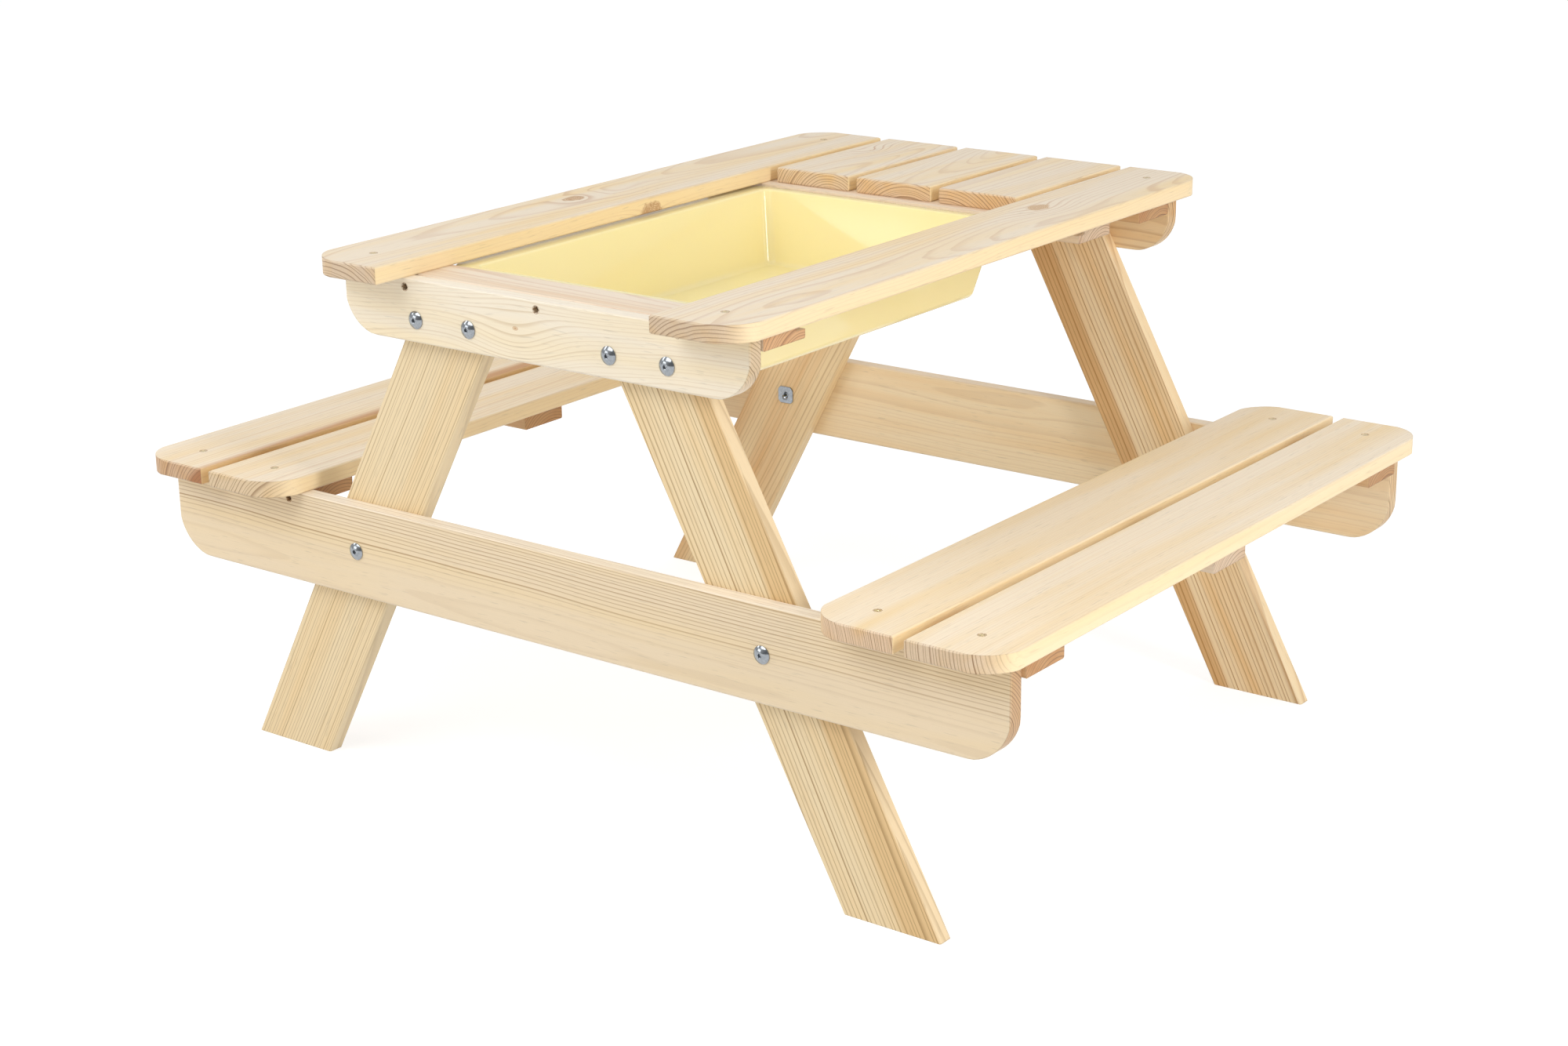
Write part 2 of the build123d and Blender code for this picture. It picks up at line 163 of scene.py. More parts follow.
# %% Room and lamps
ROOM_LEVEL = 0.68
DARK_SIDE = Vector((0.62, -0.70, -0.35))
DARK_SHARE = 0.4            # of the room's level, on the dark side
DARK_FADE = (0.1, 0.8)      # how far a direction agrees with the dark side where it fades


def add_room():
    """A white world: one level for the light that it gives, white where it is seen."""
    world = bpy.data.worlds.new("white_room")
    world.use_nodes = True
    tree = world.node_tree
    tree.nodes.clear()
    seen = add_node(tree, "ShaderNodeLightPath", output="Is Camera Ray")
    way = add_node(tree, "ShaderNodeTexCoord", output="Generated")
    toward = add_node(
        tree, "ShaderNodeVectorMath", [way, DARK_SIDE], output="Value", operation="DOT_PRODUCT"
    )
    levels = (ROOM_LEVEL, ROOM_LEVEL * DARK_SHARE)
    shade = add_node(tree, "ShaderNodeMapRange", [toward, *DARK_FADE, *levels], **SMOOTH)
    level = add_node(tree, "ShaderNodeMix", {0: seen, 2: shade, 3: 1.0})
    white = add_node(
        tree, "ShaderNodeBackground", {"Color": linear("#FFFFFF"), "Strength": level}
    )
    add_node(tree, "ShaderNodeOutputWorld", {"Surface": white}, output=None)
    bpy.context.scene.world = world


def add_soft_box(name, place, aim, width, height, watts):
    """A rectangular studio light that points at a place."""
    data = bpy.data.lights.new(name, "AREA")
    data.shape = "RECTANGLE"
    data.size = width
    data.size_y = height
    data.energy = watts
    lamp = bpy.data.objects.new(name, data)
    lamp.location = place
    lamp.rotation_euler = (Vector(place) - Vector(aim)).to_track_quat("Z", "Y").to_euler()
    bpy.context.scene.collection.objects.link(lamp)
    print(name, watts, "W")


add_room()
# Name, place, what it points at, width and height, all in metres, and watts
for soft_box in (
    ("large_soft_box", (-0.5, -2.8, 2.7), (0, 0, 0.3), 2.4, 1.8, 44),
    ("low_front_box", (-1.9, -2.8, 0.95), (0, 0, 0.3), 1.4, 0.8, 9),
    ("right_strip_box", (2.9, -0.6, 1.3), (0, 0, 0.35), 0.5, 1.8, 46),
    ("left_strip_box", (-2.2, -1.4, 1.9), (0, 0, 0.35), 0.4, 1.6, 10),
):
    add_soft_box(*soft_box)
bpy.context.scene.view_settings.view_transform = "Standard"

# %% [markdown]
# The floor is painted white and matt. Seen by the camera or in a reflection it glows, which
# keeps it white, and the part of it that is lit by the lamps shows the table's shadow. To all
# other light it is plain white paint, which throws light back up under the boards.

# %% Floor
FLOOR_SIZE = 14.0
FLOOR_GLOW = 0.75
FLOOR_PAINT = "#E2E2E2"     # what lights the table from below
FLOOR_LIT_PART = "#A8A8A8"  # what shows the shadow, on top of the glow


def add_floor():
    """A large white floor under the table's feet."""
    mesh = bpy.data.meshes.new("studio_floor")
    half = FLOOR_SIZE / 2
    corners = [(x * half, y * half, cad_box[0][2]) for x, y in ((-1, -1), (1, -1), (1, 1), (-1, 1))]
    mesh.from_pydata(corners, [], [(0, 1, 2, 3)])
    floor = bpy.data.objects.new("studio_floor", mesh)
    bpy.context.scene.collection.objects.link(floor)
    material, tree = new_material("matt_white_floor_paint")
    seen = 0.0
    for ray in ("Is Camera Ray", "Is Glossy Ray", "Is Transmission Ray"):
        this_ray = add_node(tree, "ShaderNodeLightPath", output=ray)
        seen = add_node(tree, "ShaderNodeMath", [this_ray, seen], operation="MAXIMUM")
    paint = add_node(tree, "ShaderNodeBsdfDiffuse", {"Color": linear(FLOOR_PAINT)})
    lit = add_node(tree, "ShaderNodeBsdfDiffuse", {"Color": linear(FLOOR_LIT_PART)})
    glow = add_node(
        tree, "ShaderNodeEmission", {"Color": linear("#FFFFFF"), "Strength": FLOOR_GLOW}
    )
    lifted = add_node(tree, "ShaderNodeAddShader", [lit, glow])
    surface = add_node(tree, "ShaderNodeMixShader", [seen, paint, lifted])
    add_node(tree, "ShaderNodeOutputMaterial", {"Surface": surface}, output=None)
    mesh.materials.append(material)
    return floor


floor = add_floor()
print("floor in metres:", tuple(round(size, 2) for size in floor.dimensions))

# %% [markdown]
# Every board was once part of a tree, and what shows on its faces is where the saw cut the
# growth rings. So the wood is made as a log: a stack of rings round a line, the pith, that
# runs beside or under the board. Where a face lies across the rings they show as close
# straight lines, where it lies along them they show as wide waves, and on the end they show as
# arcs, all from the same rings. A picture laid on each face couldn't agree at the corners.
#
# The log is a group of nodes, which each board uses with numbers of its own. Here are the
# sizes that all boards share, the group's inputs, and a helper for the soft noises that make
# wood uneven. Most of these are long and narrow, because wood changes little along its grain.

# %% The log's sizes and inputs
SEED_SHIFT = (37.1, 91.7, 53.3)     # sets the noises of one board apart from the next one's
# Along and across the grain, in millimetres
BEND_MM = (310, 310)        # from one bend of the pith to the next
DENT_MM = (230, 34)         # a dent in the rings
BAND_MM = (420, 26)         # a warm band in the sapwood
FIBRE_MM = (55, 0.7)        # a bundle of fibres, drawn coarse enough to show
FLECK_MM = (20, 1.5)        # a resin fleck
PORE_MM = (1.2, 1.2)        # the pores of the end, drawn coarse enough to show

LOG_INPUTS = {
    "Place": "Vector", "Facing": "Vector", "Pith": "Vector", "Lean": "Vector", "Ring": "Float",
    "Wave": "Float", "Contrast": "Float", "Seed": "Float", "Push": "Float", "Knot": "Float",
    "Knot ring": "Float", "Plain from": "Float", "Plain to": "Float", "Heart to": "Float",
    "Heart wood": "Color", "Spring wood": "Color", "Summer wood": "Color", "Warm wood": "Color",
    "Edge painted light": "Color", "End tint": "Vector",
}


def group_tree(name, inputs, outputs):
    """A new node group with the sockets asked for, and its ends."""
    tree = bpy.data.node_groups.new(name, "ShaderNodeTree")
    for in_out, sockets in (("INPUT", inputs), ("OUTPUT", outputs)):
        for socket, kind in sockets.items():
            kind = "NodeSocket" + kind
            tree.interface.new_socket(name=socket, in_out=in_out, socket_type=kind)
    given = tree.nodes.new("NodeGroupInput").outputs
    result = tree.nodes.new("NodeGroupOutput").inputs
    return tree, given, result


def stretched(tree, place, seed, size):
    """Where to read a noise whose features have this size along and across the grain."""
    along, across = size
    scale = (1 / along, 1 / across, 1 / across)
    shrunk = add_node(tree, "ShaderNodeVectorMath", [place, scale], operation="MULTIPLY")
    shift = add_node(
        tree, "ShaderNodeVectorMath", {0: SEED_SHIFT, "Scale": seed}, operation="SCALE"
    )
    return add_node(tree, "ShaderNodeVectorMath", [shrunk, shift], operation="ADD")


print("inputs of the log:", len(LOG_INPUTS))

# %% [markdown]
# The first question at any place in a board is how far it lies from the pith. The pith can
# lean through the board and bends a little, and no ring is a true circle. A knot nearby
# pushes the rings outward.

# %% How far from the pith
BEND_PER_WAVE = 3.0         # the pith wanders more than the rings do


def distance_from_pith(tree, given):
    """Millimetres from the pith, in rings that aren't quite round."""
    place, seed = given["Place"], given["Seed"]
    along = add_node(tree, "ShaderNodeSeparateXYZ", [place])
    along_only = add_node(tree, "ShaderNodeCombineXYZ", [along])
    bend_at = stretched(tree, along_only, seed, BEND_MM)
    bend = add_node(
        tree, "ShaderNodeTexNoise", {"Vector": bend_at, "Scale": 1.0, "Detail": 1.0},
        output="Color",
    )
    bend = add_node(tree, "ShaderNodeVectorMath", [bend, (0.5, 0.5, 0.5)], operation="SUBTRACT")
    reach = add_node(tree, "ShaderNodeMath", [given["Wave"], BEND_PER_WAVE], operation="MULTIPLY")
    bend = add_node(tree, "ShaderNodeVectorMath", {0: bend, "Scale": reach}, operation="SCALE")
    lean = add_node(
        tree, "ShaderNodeVectorMath", {0: given["Lean"], "Scale": along}, operation="SCALE"
    )
    pith = add_node(tree, "ShaderNodeVectorMath", [given["Pith"], lean], operation="ADD")
    pith = add_node(tree, "ShaderNodeVectorMath", [pith, bend], operation="ADD")
    offset = add_node(tree, "ShaderNodeVectorMath", [place, pith], operation="SUBTRACT")
    offset = add_node(tree, "ShaderNodeVectorMath", [offset, (0, 1, 1)], operation="MULTIPLY")
    radius = add_node(tree, "ShaderNodeVectorMath", [offset], output="Value", operation="LENGTH")
    dent_at = stretched(tree, place, seed, DENT_MM)
    dent = add_node(tree, "ShaderNodeTexNoise", {"Vector": dent_at, "Scale": 1.0, "Detail": 2.0})
    dent = add_node(tree, "ShaderNodeMath", [dent, 0.5], operation="SUBTRACT")
    radius = add_node(
        tree, "ShaderNodeMath", [dent, given["Wave"], radius], operation="MULTIPLY_ADD"
    )
    return add_node(tree, "ShaderNodeMath", [radius, given["Push"]], operation="ADD")


print("the pith bends every", BEND_MM[0], "mm, and a dent is", DENT_MM[0], "mm long")

# %% [markdown]
# The second question is what time of year that wood grew. In each ring the pale spring wood
# darkens slowly to a thin line of summer wood and then stops short. The whole number of the
# distance in rings is the year, and the rest is the time of year. Good and bad years make
# wide and narrow rings, and each year's line has a strength of its own.

# %% Growth rings
SUMMER_RISE = (0.56, 0.92)  # shares of the year between which the wood darkens
SUMMER_STOP = (0.94, 1.0)   # and between which it stops
LINE_STRENGTH = (0.5, 1.0)  # of the faintest year and of the boldest
GOOD_YEARS = 0.45           # how fast good and bad years take turns
GOOD_YEAR_GAIN = 1.3        # how much they change a ring's width


def summer_wood(tree, given, radius):
    """How strongly the summer wood shows at a distance from the pith, from 0 to 1."""
    phase = add_node(tree, "ShaderNodeMath", [radius, given["Ring"]], operation="DIVIDE")
    years = add_node(tree, "ShaderNodeMath", [phase, given["Seed"]], operation="ADD")
    growth = add_node(
        tree, "ShaderNodeTexNoise", {"W": years, "Scale": GOOD_YEARS, "Detail": 1.0},
        noise_dimensions="1D",
    )
    phase = add_node(
        tree, "ShaderNodeMath", [growth, GOOD_YEAR_GAIN, phase], operation="MULTIPLY_ADD"
    )
    year = add_node(tree, "ShaderNodeMath", [phase], operation="FLOOR")
    season = add_node(tree, "ShaderNodeMath", [phase], operation="FRACT")
    rise = add_node(tree, "ShaderNodeMapRange", [season, *SUMMER_RISE], **SMOOTH)
    stop = add_node(tree, "ShaderNodeMapRange", [season, *SUMMER_STOP, 1.0, 0.0], **SMOOTH)
    year_seed = add_node(tree, "ShaderNodeMath", [year, given["Seed"]], operation="ADD")
    strength = add_node(tree, "ShaderNodeTexWhiteNoise", {"W": year_seed}, noise_dimensions="1D")
    strength = add_node(tree, "ShaderNodeMapRange", [strength, 0.0, 1.0, *LINE_STRENGTH])
    summer = add_node(tree, "ShaderNodeMath", [rise, stop], operation="MULTIPLY")
    return add_node(tree, "ShaderNodeMath", [summer, strength], operation="MULTIPLY")


print("summer wood begins at", SUMMER_RISE[0], "of a year's ring")

# %% [markdown]
# Between the lines, young sapwood is pale with a warm band here and there, and the heartwood
# near the pith is redder. The narrow edges of a board get a tone of their own, which is painted
# light: warm bounced light on their sides, and a pale painted highlight on edges that face up.

# %% Colour between the rings
BAND_FADE = (0.42, 0.72)    # of the noise, between which a warm band comes in
HEART_FADE_MM = (0.0, 9.0)  # inside the heart, over which the sapwood gives way to it
EDGE_FADE = (0.4, 0.95)     # of the facing, between which a face counts as an edge
EDGE_PAINTED_LIGHT_SHARE = 0.65           # of the painted edge light, on an edge


def colour_between_rings(tree, given, radius, on_edge):
    """Sapwood with warm bands, heartwood near the pith, and painted light on the edges."""
    band_at = stretched(tree, given["Place"], given["Seed"], BAND_MM)
    band = add_node(tree, "ShaderNodeTexNoise", {"Vector": band_at, "Scale": 1.0, "Detail": 2.0})
    band = add_node(tree, "ShaderNodeMapRange", [band, *BAND_FADE])
    into_heart = add_node(tree, "ShaderNodeMath", [given["Heart to"], radius], operation="SUBTRACT")
    heart = add_node(tree, "ShaderNodeMapRange", [into_heart, *HEART_FADE_MM], **SMOOTH)
    colour = given["Spring wood"]
    # The last mix is painted light on the edges: warm bounced light on the sides, and a pale
    # painted highlight on edges that face up
    for share, tone in ((band, "Warm wood"), (heart, "Heart wood"), (on_edge, "Edge painted light")):
        colour = add_node(
            tree, "ShaderNodeMix", {0: share, 6: colour, 7: given[tone]}, **MIX_COLOURS
        )
    return colour


print("heartwood fades into sapwood over", HEART_FADE_MM[1], "mm")

# %% [markdown]
# A planed face shows the rings, fine fibres and small flecks of resin. Some boards are plain
# over a part of their width. The edges show the rings less, and the lines are bolder where a
# knot bends them. A knot is darker and has rings of its own.

# %% Planed faces
PLAIN_SHARE = 0.22          # of the contrast, where a board is plain
EDGE_CONTRAST_LOSS = -0.8   # of the contrast, for each share of edge
KNOT_CONTRAST_GAIN = 0.04   # for each millimetre that a knot pushes the rings
FIBRE_TONE = (0.93, 1.05)
FLECK_FADE = (0.64, 0.74)   # of the noise, between which a fleck comes in
FLECK_TONE = (1.0, 0.87)
KNOT_PALE, KNOT_DARK = "#E2C7A2", "#BF9870"


def planed_face(tree, given, colour, summer, fibre, on_edge):
    """The colour of a face along the grain."""
    across = add_node(tree, "ShaderNodeSeparateXYZ", [given["Place"]], output="Y")
    plain = add_node(
        tree, "ShaderNodeMapRange",
        [across, given["Plain from"], given["Plain to"], 1.0, PLAIN_SHARE], **SMOOTH,
    )
    contrast = add_node(tree, "ShaderNodeMath", [given["Contrast"], plain], operation="MULTIPLY")
    edge_share = add_node(
        tree, "ShaderNodeMath", [on_edge, EDGE_CONTRAST_LOSS, 1.0], operation="MULTIPLY_ADD"
    )
    contrast = add_node(tree, "ShaderNodeMath", [contrast, edge_share], operation="MULTIPLY")
    contrast = add_node(
        tree, "ShaderNodeMath", [given["Push"], KNOT_CONTRAST_GAIN, contrast],
        operation="MULTIPLY_ADD",
    )
    amount = add_node(
        tree, "ShaderNodeMath", [summer, contrast], operation="MULTIPLY", use_clamp=True
    )
    ringed = add_node(
        tree, "ShaderNodeMix", {0: amount, 6: colour, 7: given["Summer wood"]}, **MIX_COLOURS
    )
    fibre_tone = add_node(tree, "ShaderNodeMapRange", [fibre, 0.0, 1.0, *FIBRE_TONE])
    fleck_at = stretched(tree, given["Place"], given["Seed"], FLECK_MM)
    fleck = add_node(tree, "ShaderNodeTexNoise", {"Vector": fleck_at, "Scale": 1.0, "Detail": 1.0})
    fleck_tone = add_node(tree, "ShaderNodeMapRange", [fleck, *FLECK_FADE, *FLECK_TONE])
    tone = add_node(tree, "ShaderNodeMath", [fibre_tone, fleck_tone], operation="MULTIPLY")
    planed = add_node(tree, "ShaderNodeVectorMath", {0: ringed, "Scale": tone}, operation="SCALE")
    knot_wood = {0: given["Knot ring"], 6: linear(KNOT_PALE), 7: linear(KNOT_DARK)}
    knot_wood = add_node(tree, "ShaderNodeMix", knot_wood, **MIX_COLOURS)
    return add_node(
        tree, "ShaderNodeMix", {0: given["Knot"], 6: planed, 7: knot_wood}, **MIX_COLOURS
    )


print("knot wood:", KNOT_PALE, "to", KNOT_DARK)

# %% [markdown]
# A sawn end is cut straight across the fibres. Their open ends drink in light, so it is
# browner than the faces, and its rings are bolder.

# %% Sawn ends, and the log as a whole
END_LINE_SHARE = 0.95       # of the summer wood's tone, in a line
END_LINE_TONE = 0.55        # of that tone's brightness
PORE_TONE = (0.86, 1.06)
END_FADE = (0.3, 0.95)      # of the facing, between which a face counts as an end
LINE_RELIEF = 0.6           # of a line, beside the fibres


def sawn_end(tree, given, colour, summer):
    """The colour of an end, across the grain."""
    amount = add_node(tree, "ShaderNodeMath", [summer, END_LINE_SHARE], operation="MULTIPLY")
    line = {0: given["Summer wood"], "Scale": END_LINE_TONE}
    line = add_node(tree, "ShaderNodeVectorMath", line, operation="SCALE")
    ringed = add_node(tree, "ShaderNodeMix", {0: amount, 6: colour, 7: line}, **MIX_COLOURS)
    pores_at = stretched(tree, given["Place"], given["Seed"], PORE_MM)
    pores = add_node(tree, "ShaderNodeTexNoise", {"Vector": pores_at, "Scale": 1.0, "Detail": 2.0})
    tone = add_node(tree, "ShaderNodeMapRange", [pores, 0.0, 1.0, *PORE_TONE])
    tint = add_node(
        tree, "ShaderNodeVectorMath", {0: given["End tint"], "Scale": tone}, operation="SCALE"
    )
    return add_node(tree, "ShaderNodeVectorMath", [ringed, tint], operation="MULTIPLY")


def log_group():
    """Colour and relief of wood sawn from a log, at a place in the board, in millimetres."""
    outputs = {"Colour": "Color", "Relief": "Float"}
    tree, given, result = group_tree("pine_log", LOG_INPUTS, outputs)
    facing = add_node(tree, "ShaderNodeVectorMath", [given["Facing"]], operation="ABSOLUTE")
    toward_end = add_node(tree, "ShaderNodeSeparateXYZ", [facing], output="X")
    toward_edge = add_node(tree, "ShaderNodeSeparateXYZ", [facing], output="Y")
    on_end = add_node(tree, "ShaderNodeMapRange", [toward_end, *END_FADE], **SMOOTH)
    on_edge = add_node(
        tree, "ShaderNodeMapRange", [toward_edge, *EDGE_FADE, 0.0, EDGE_PAINTED_LIGHT_SHARE], **SMOOTH
    )
    radius = distance_from_pith(tree, given)
    summer = summer_wood(tree, given, radius)
    colour = colour_between_rings(tree, given, radius, on_edge)
    fibre_at = stretched(tree, given["Place"], given["Seed"], FIBRE_MM)
    fibre = {"Vector": fibre_at, "Scale": 1.0, "Detail": 3.0, "Roughness": 0.6}
    fibre = add_node(tree, "ShaderNodeTexNoise", fibre)
    face = planed_face(tree, given, colour, summer, fibre, on_edge)
    end = sawn_end(tree, given, colour, summer)
    whole = add_node(tree, "ShaderNodeMix", {0: on_end, 6: face, 7: end}, **MIX_COLOURS)
    relief = add_node(
        tree, "ShaderNodeMath", [summer, LINE_RELIEF, fibre], operation="MULTIPLY_ADD"
    )
    tree.links.new(whole, result["Colour"])
    tree.links.new(relief, result["Relief"])
    return tree


pine_log = log_group()
print("nodes in the log:", len(pine_log.nodes))

# %% [markdown]
# A knot is a branch that the tree grew round. It is a small round log of its own that runs
# across the board, and the wood beside it bends out of its way. So each knot moves the place
# that the log is read at, squeezes the rings outward, and says where its own wood shows.

# %% Knots
KNOT_RING_MM = 1.6
KNOT_ALONG = 0.62           # its width over its length: it is stretched along the grain
KNOT_WOBBLE = 0.7           # of its radius, how much its outline wobbles
KNOT_WOBBLES_PER_MM = 0.11
KNOT_PINCH = -0.6           # how much the wood beside it is drawn together
KNOT_FADE = (0.8, 1.1)      # of its radius, between which its own wood ends


def knot_group():
    """The place and the rings bent round one knot, and the mask and rings of the knot itself."""
    tree, given, result = group_tree(
        "pine_knot",
        {
            "Place": "Vector", "Centre": "Vector", "Axis": "Vector",
            "Radius": "Float", "Reach": "Float", "Swirl": "Float",
        },
        {"Place": "Vector", "Push": "Float", "Mask": "Float", "Ring": "Float"},
    )
    place, axis = given["Place"], given["Axis"]
    offset = add_node(tree, "ShaderNodeVectorMath", [place, given["Centre"]], operation="SUBTRACT")
    depth = add_node(
        tree, "ShaderNodeVectorMath", [offset, axis], output="Value", operation="DOT_PRODUCT"
    )
    inward = add_node(tree, "ShaderNodeVectorMath", {0: axis, "Scale": depth}, operation="SCALE")
    across = add_node(tree, "ShaderNodeVectorMath", [offset, inward], operation="SUBTRACT")
    oval = add_node(
        tree, "ShaderNodeVectorMath", [across, (KNOT_ALONG, 1.0, 1.0)], operation="MULTIPLY"
    )
    away = add_node(tree, "ShaderNodeVectorMath", [oval], output="Value", operation="LENGTH")

    # The knot's own wood, with a wobbly outline
    wobble = {"Vector": place, "Scale": KNOT_WOBBLES_PER_MM, "Detail": 2.0}
    wobble = add_node(tree, "ShaderNodeTexNoise", wobble)
    distance = add_node(tree, "ShaderNodeMath", [away, given["Radius"]], operation="DIVIDE")
    distance = add_node(
        tree, "ShaderNodeMath", [wobble, KNOT_WOBBLE, distance], operation="MULTIPLY_ADD"
    )
    distance = add_node(tree, "ShaderNodeMath", [distance, KNOT_WOBBLE / 2], operation="SUBTRACT")
    mask = add_node(tree, "ShaderNodeMapRange", [distance, *KNOT_FADE, 1.0, 0.0], **SMOOTH)
    rings = add_node(tree, "ShaderNodeMath", [distance, given["Radius"]], operation="MULTIPLY")
    rings = add_node(tree, "ShaderNodeMath", [rings, 2 * pi / KNOT_RING_MM], operation="MULTIPLY")
    rings = add_node(tree, "ShaderNodeMath", [rings], operation="SINE")
    rings = add_node(tree, "ShaderNodeMapRange", [rings, -1.0, 1.0])

    # The wood round it, which is bent less the further away it is
    away = add_node(tree, "ShaderNodeMath", [away, given["Reach"]], operation="DIVIDE")
    squared = add_node(tree, "ShaderNodeMath", [away, away], operation="MULTIPLY")
    fall = add_node(tree, "ShaderNodeMath", [squared, -1.0], operation="MULTIPLY")
    near = add_node(tree, "ShaderNodeMath", [fall], operation="EXPONENT")
    pinch = add_node(tree, "ShaderNodeMath", [near, KNOT_PINCH], operation="MULTIPLY")
    pinch = add_node(tree, "ShaderNodeVectorMath", {0: across, "Scale": pinch}, operation="SCALE")
    moved = add_node(tree, "ShaderNodeVectorMath", [place, pinch], operation="ADD")
    push = add_node(tree, "ShaderNodeMath", [near, given["Swirl"]], operation="MULTIPLY")
    for name, value in (("Place", moved), ("Push", push), ("Mask", mask), ("Ring", rings)):
        tree.links.new(value, result[name])
    return tree


pine_knot = knot_group()
print("nodes in a knot:", len(pine_knot.nodes))

# %% [markdown]
# Now each board gets its own cut of the log. Its grain runs along its length, so the board's
# own directions come from its shape: the long way, the wide way and the thin way. A few
# values say where the pith lay from the board's middle, how far it leans along the board, how
# wide the rings are, how much they wave, and how strongly they show. Others say which part of
# a board's width is plain, how far from the pith its heartwood reaches, and the tint of its
# ends. The boards that the eye meets first have values of their own, and the rest share one
# set.

# %% Boards
# Spring wood, summer wood, warm bands, and the painted light on the edges
TONES = {
    "top": ("#EEDFC8", "#C09068", "#F1D8AC", "#F8DCA6"),
    "bench": ("#F5E6CE", "#CB9C6C", "#F3DAAE", "#F5DAA6"),
    "rail": ("#EFE3CD", "#C4A678", "#F1DFBA", "#FBF2E4"),
    "beam": ("#E6D2B2", "#A37B47", "#E8D1A8", "#FBF2E4"),
    # Painted light: the far beam stands in shade under the top, and its wood is painted lighter to
    # make up for it
    "far beam painted lighter": ("#FAE5C0", "#C69A66", "#F5D4A2", "#FAEEDC"),
    "leg": ("#E9D4AC", "#9C763F", "#E8CD9E", "#F0DDBA"),
    "far leg": ("#EDD3A6", "#A67440", "#E0B47C", "#EDD3A6"),
    # Partly painted light: a warm heartwood tone, painted lighter for the far apron and the far
    # right leg, which stand in shade
    "heartwood": ("#F8E0B8", "#B4803F", "#F0C88E", "#F2DCB4"),
    "pale batten": ("#F0E0CB", "#CFA888", "#EBD0B0", "#F0DCC4"),
    "brown batten": ("#DAB282", "#B98A5C", "#D2A06A", "#DEB88C"),
}

BOARDS = {
    "left_top_plank": dict(
        tone="top", pith=(18, -64), lean=(0.02, 0.035), ring=3.4, wave=5.0, contrast=0.32,
    ),
    "right_top_plank": dict(
        tone="top", pith=(-30, -58), lean=(-0.03, 0.03), ring=3.4, wave=5.5, contrast=0.38,
    ),
    "left_short_plank": dict(
        tone="top", pith=(-20, -40), lean=(0.02, -0.05), ring=2.8, wave=2.5, contrast=0.35,
        end=(0.86, 0.74, 0.6),
    ),
    "middle_short_plank": dict(
        tone="top", pith=(-12, -52), lean=(0.05, 0.06), ring=2.8, wave=3.5, contrast=0.32,
        end=(0.84, 0.69, 0.55),
    ),
    "right_short_plank": dict(
        tone="top", pith=(40, -60), lean=(0.03, 0.0), ring=3.2, wave=2.5, contrast=0.35,
        end=(0.84, 0.67, 0.52),
    ),
    "left_bench_outer_plank": dict(
        tone="bench", pith=(-58, -30), lean=(0.02, 0.0), ring=3.6, wave=3.0, contrast=0.4,
        end=(0.66, 0.5, 0.38), heart=51.0, heart_wood="#CC9A6A",
    ),
    "left_bench_inner_plank": dict(
        tone="bench", pith=(-70, -60), lean=(0.02, 0.02), ring=3.6, wave=4.0, contrast=0.4,
        end=(0.76, 0.67, 0.54),
    ),
    "right_bench_inner_plank": dict(
        tone="bench", pith=(95, -12), lean=(0.01, 0.03), ring=2.3, wave=3.0, contrast=0.25,
        end=(0.8, 0.67, 0.56),
    ),
    "right_bench_outer_plank": dict(
        tone="bench", pith=(-78, 16), lean=(0.0, 0.01), ring=3.2, wave=2.2, contrast=0.25,
    ),
    "near_apron": dict(
        tone="rail", pith=(66, -60), lean=(-0.02, 0.05), ring=2.8, wave=8.0, contrast=0.32,
    ),
    # Its tone is painted lighter for the shade that it stands in
    "far_apron": dict(
        tone="heartwood", pith=(-12, -60), lean=(0.02, 0.02), ring=4.0, wave=6.0, contrast=0.4,
    ),
    "near_seat_beam": dict(
        tone="beam", pith=(30, -58), lean=(0.014, 0.0), ring=2.5, wave=2.2, contrast=0.85,
        plain=(-14, 10), end=(0.7, 0.54, 0.42),
    ),
    # Its tone is painted lighter for the shade that it stands in
    "far_seat_beam": dict(
        tone="far beam painted lighter", pith=(-34, 64), lean=(0.01, 0.0), ring=2.8, wave=3.0, contrast=0.25,
    ),
    "near_left_leg": dict(
        tone="leg", pith=(-96, 18), lean=(0.012, 0.0), ring=3.2, wave=2.0, contrast=0.7,
    ),
    "near_right_leg": dict(
        tone="leg", pith=(106, -20), lean=(0.03, 0.0), ring=4.6, wave=1.4, contrast=0.9,
        heart=92.0, heart_wood="#DDBC88",
    ),
    "far_left_leg": dict(
        tone="far leg", pith=(70, 30), lean=(0.03, 0.0), ring=4.2, wave=3.5, contrast=0.45,
    ),
    # Its tone is painted lighter for the shade that it stands in
    "far_right_leg": dict(
        tone="heartwood", pith=(-88, -24), lean=(0.02, 0.01), ring=4.8, wave=3.0, contrast=1.0,
        heart=72.0,
    ),
    "near_top_batten": dict(
        tone="pale batten", pith=(20, -44), lean=(0.01, 0.02), ring=3.4, wave=3.0, contrast=0.5,
        end=(0.74, 0.52, 0.34),
    ),
    "middle_top_batten": dict(
        tone="pale batten", pith=(14, -40), lean=(0.01, 0.02), ring=3.0, wave=3.0, contrast=0.5,
    ),
    "right_bench_middle_batten": dict(
        tone="pale batten", pith=(24, -44), lean=(0, 0), ring=3.2, wave=3.0, contrast=0.4,
    ),
}
OTHER_BATTENS = dict(
    tone="brown batten", pith=(14, -44), lean=(0.01, 0.02), ring=3.2, wave=3.0, contrast=0.4,
)

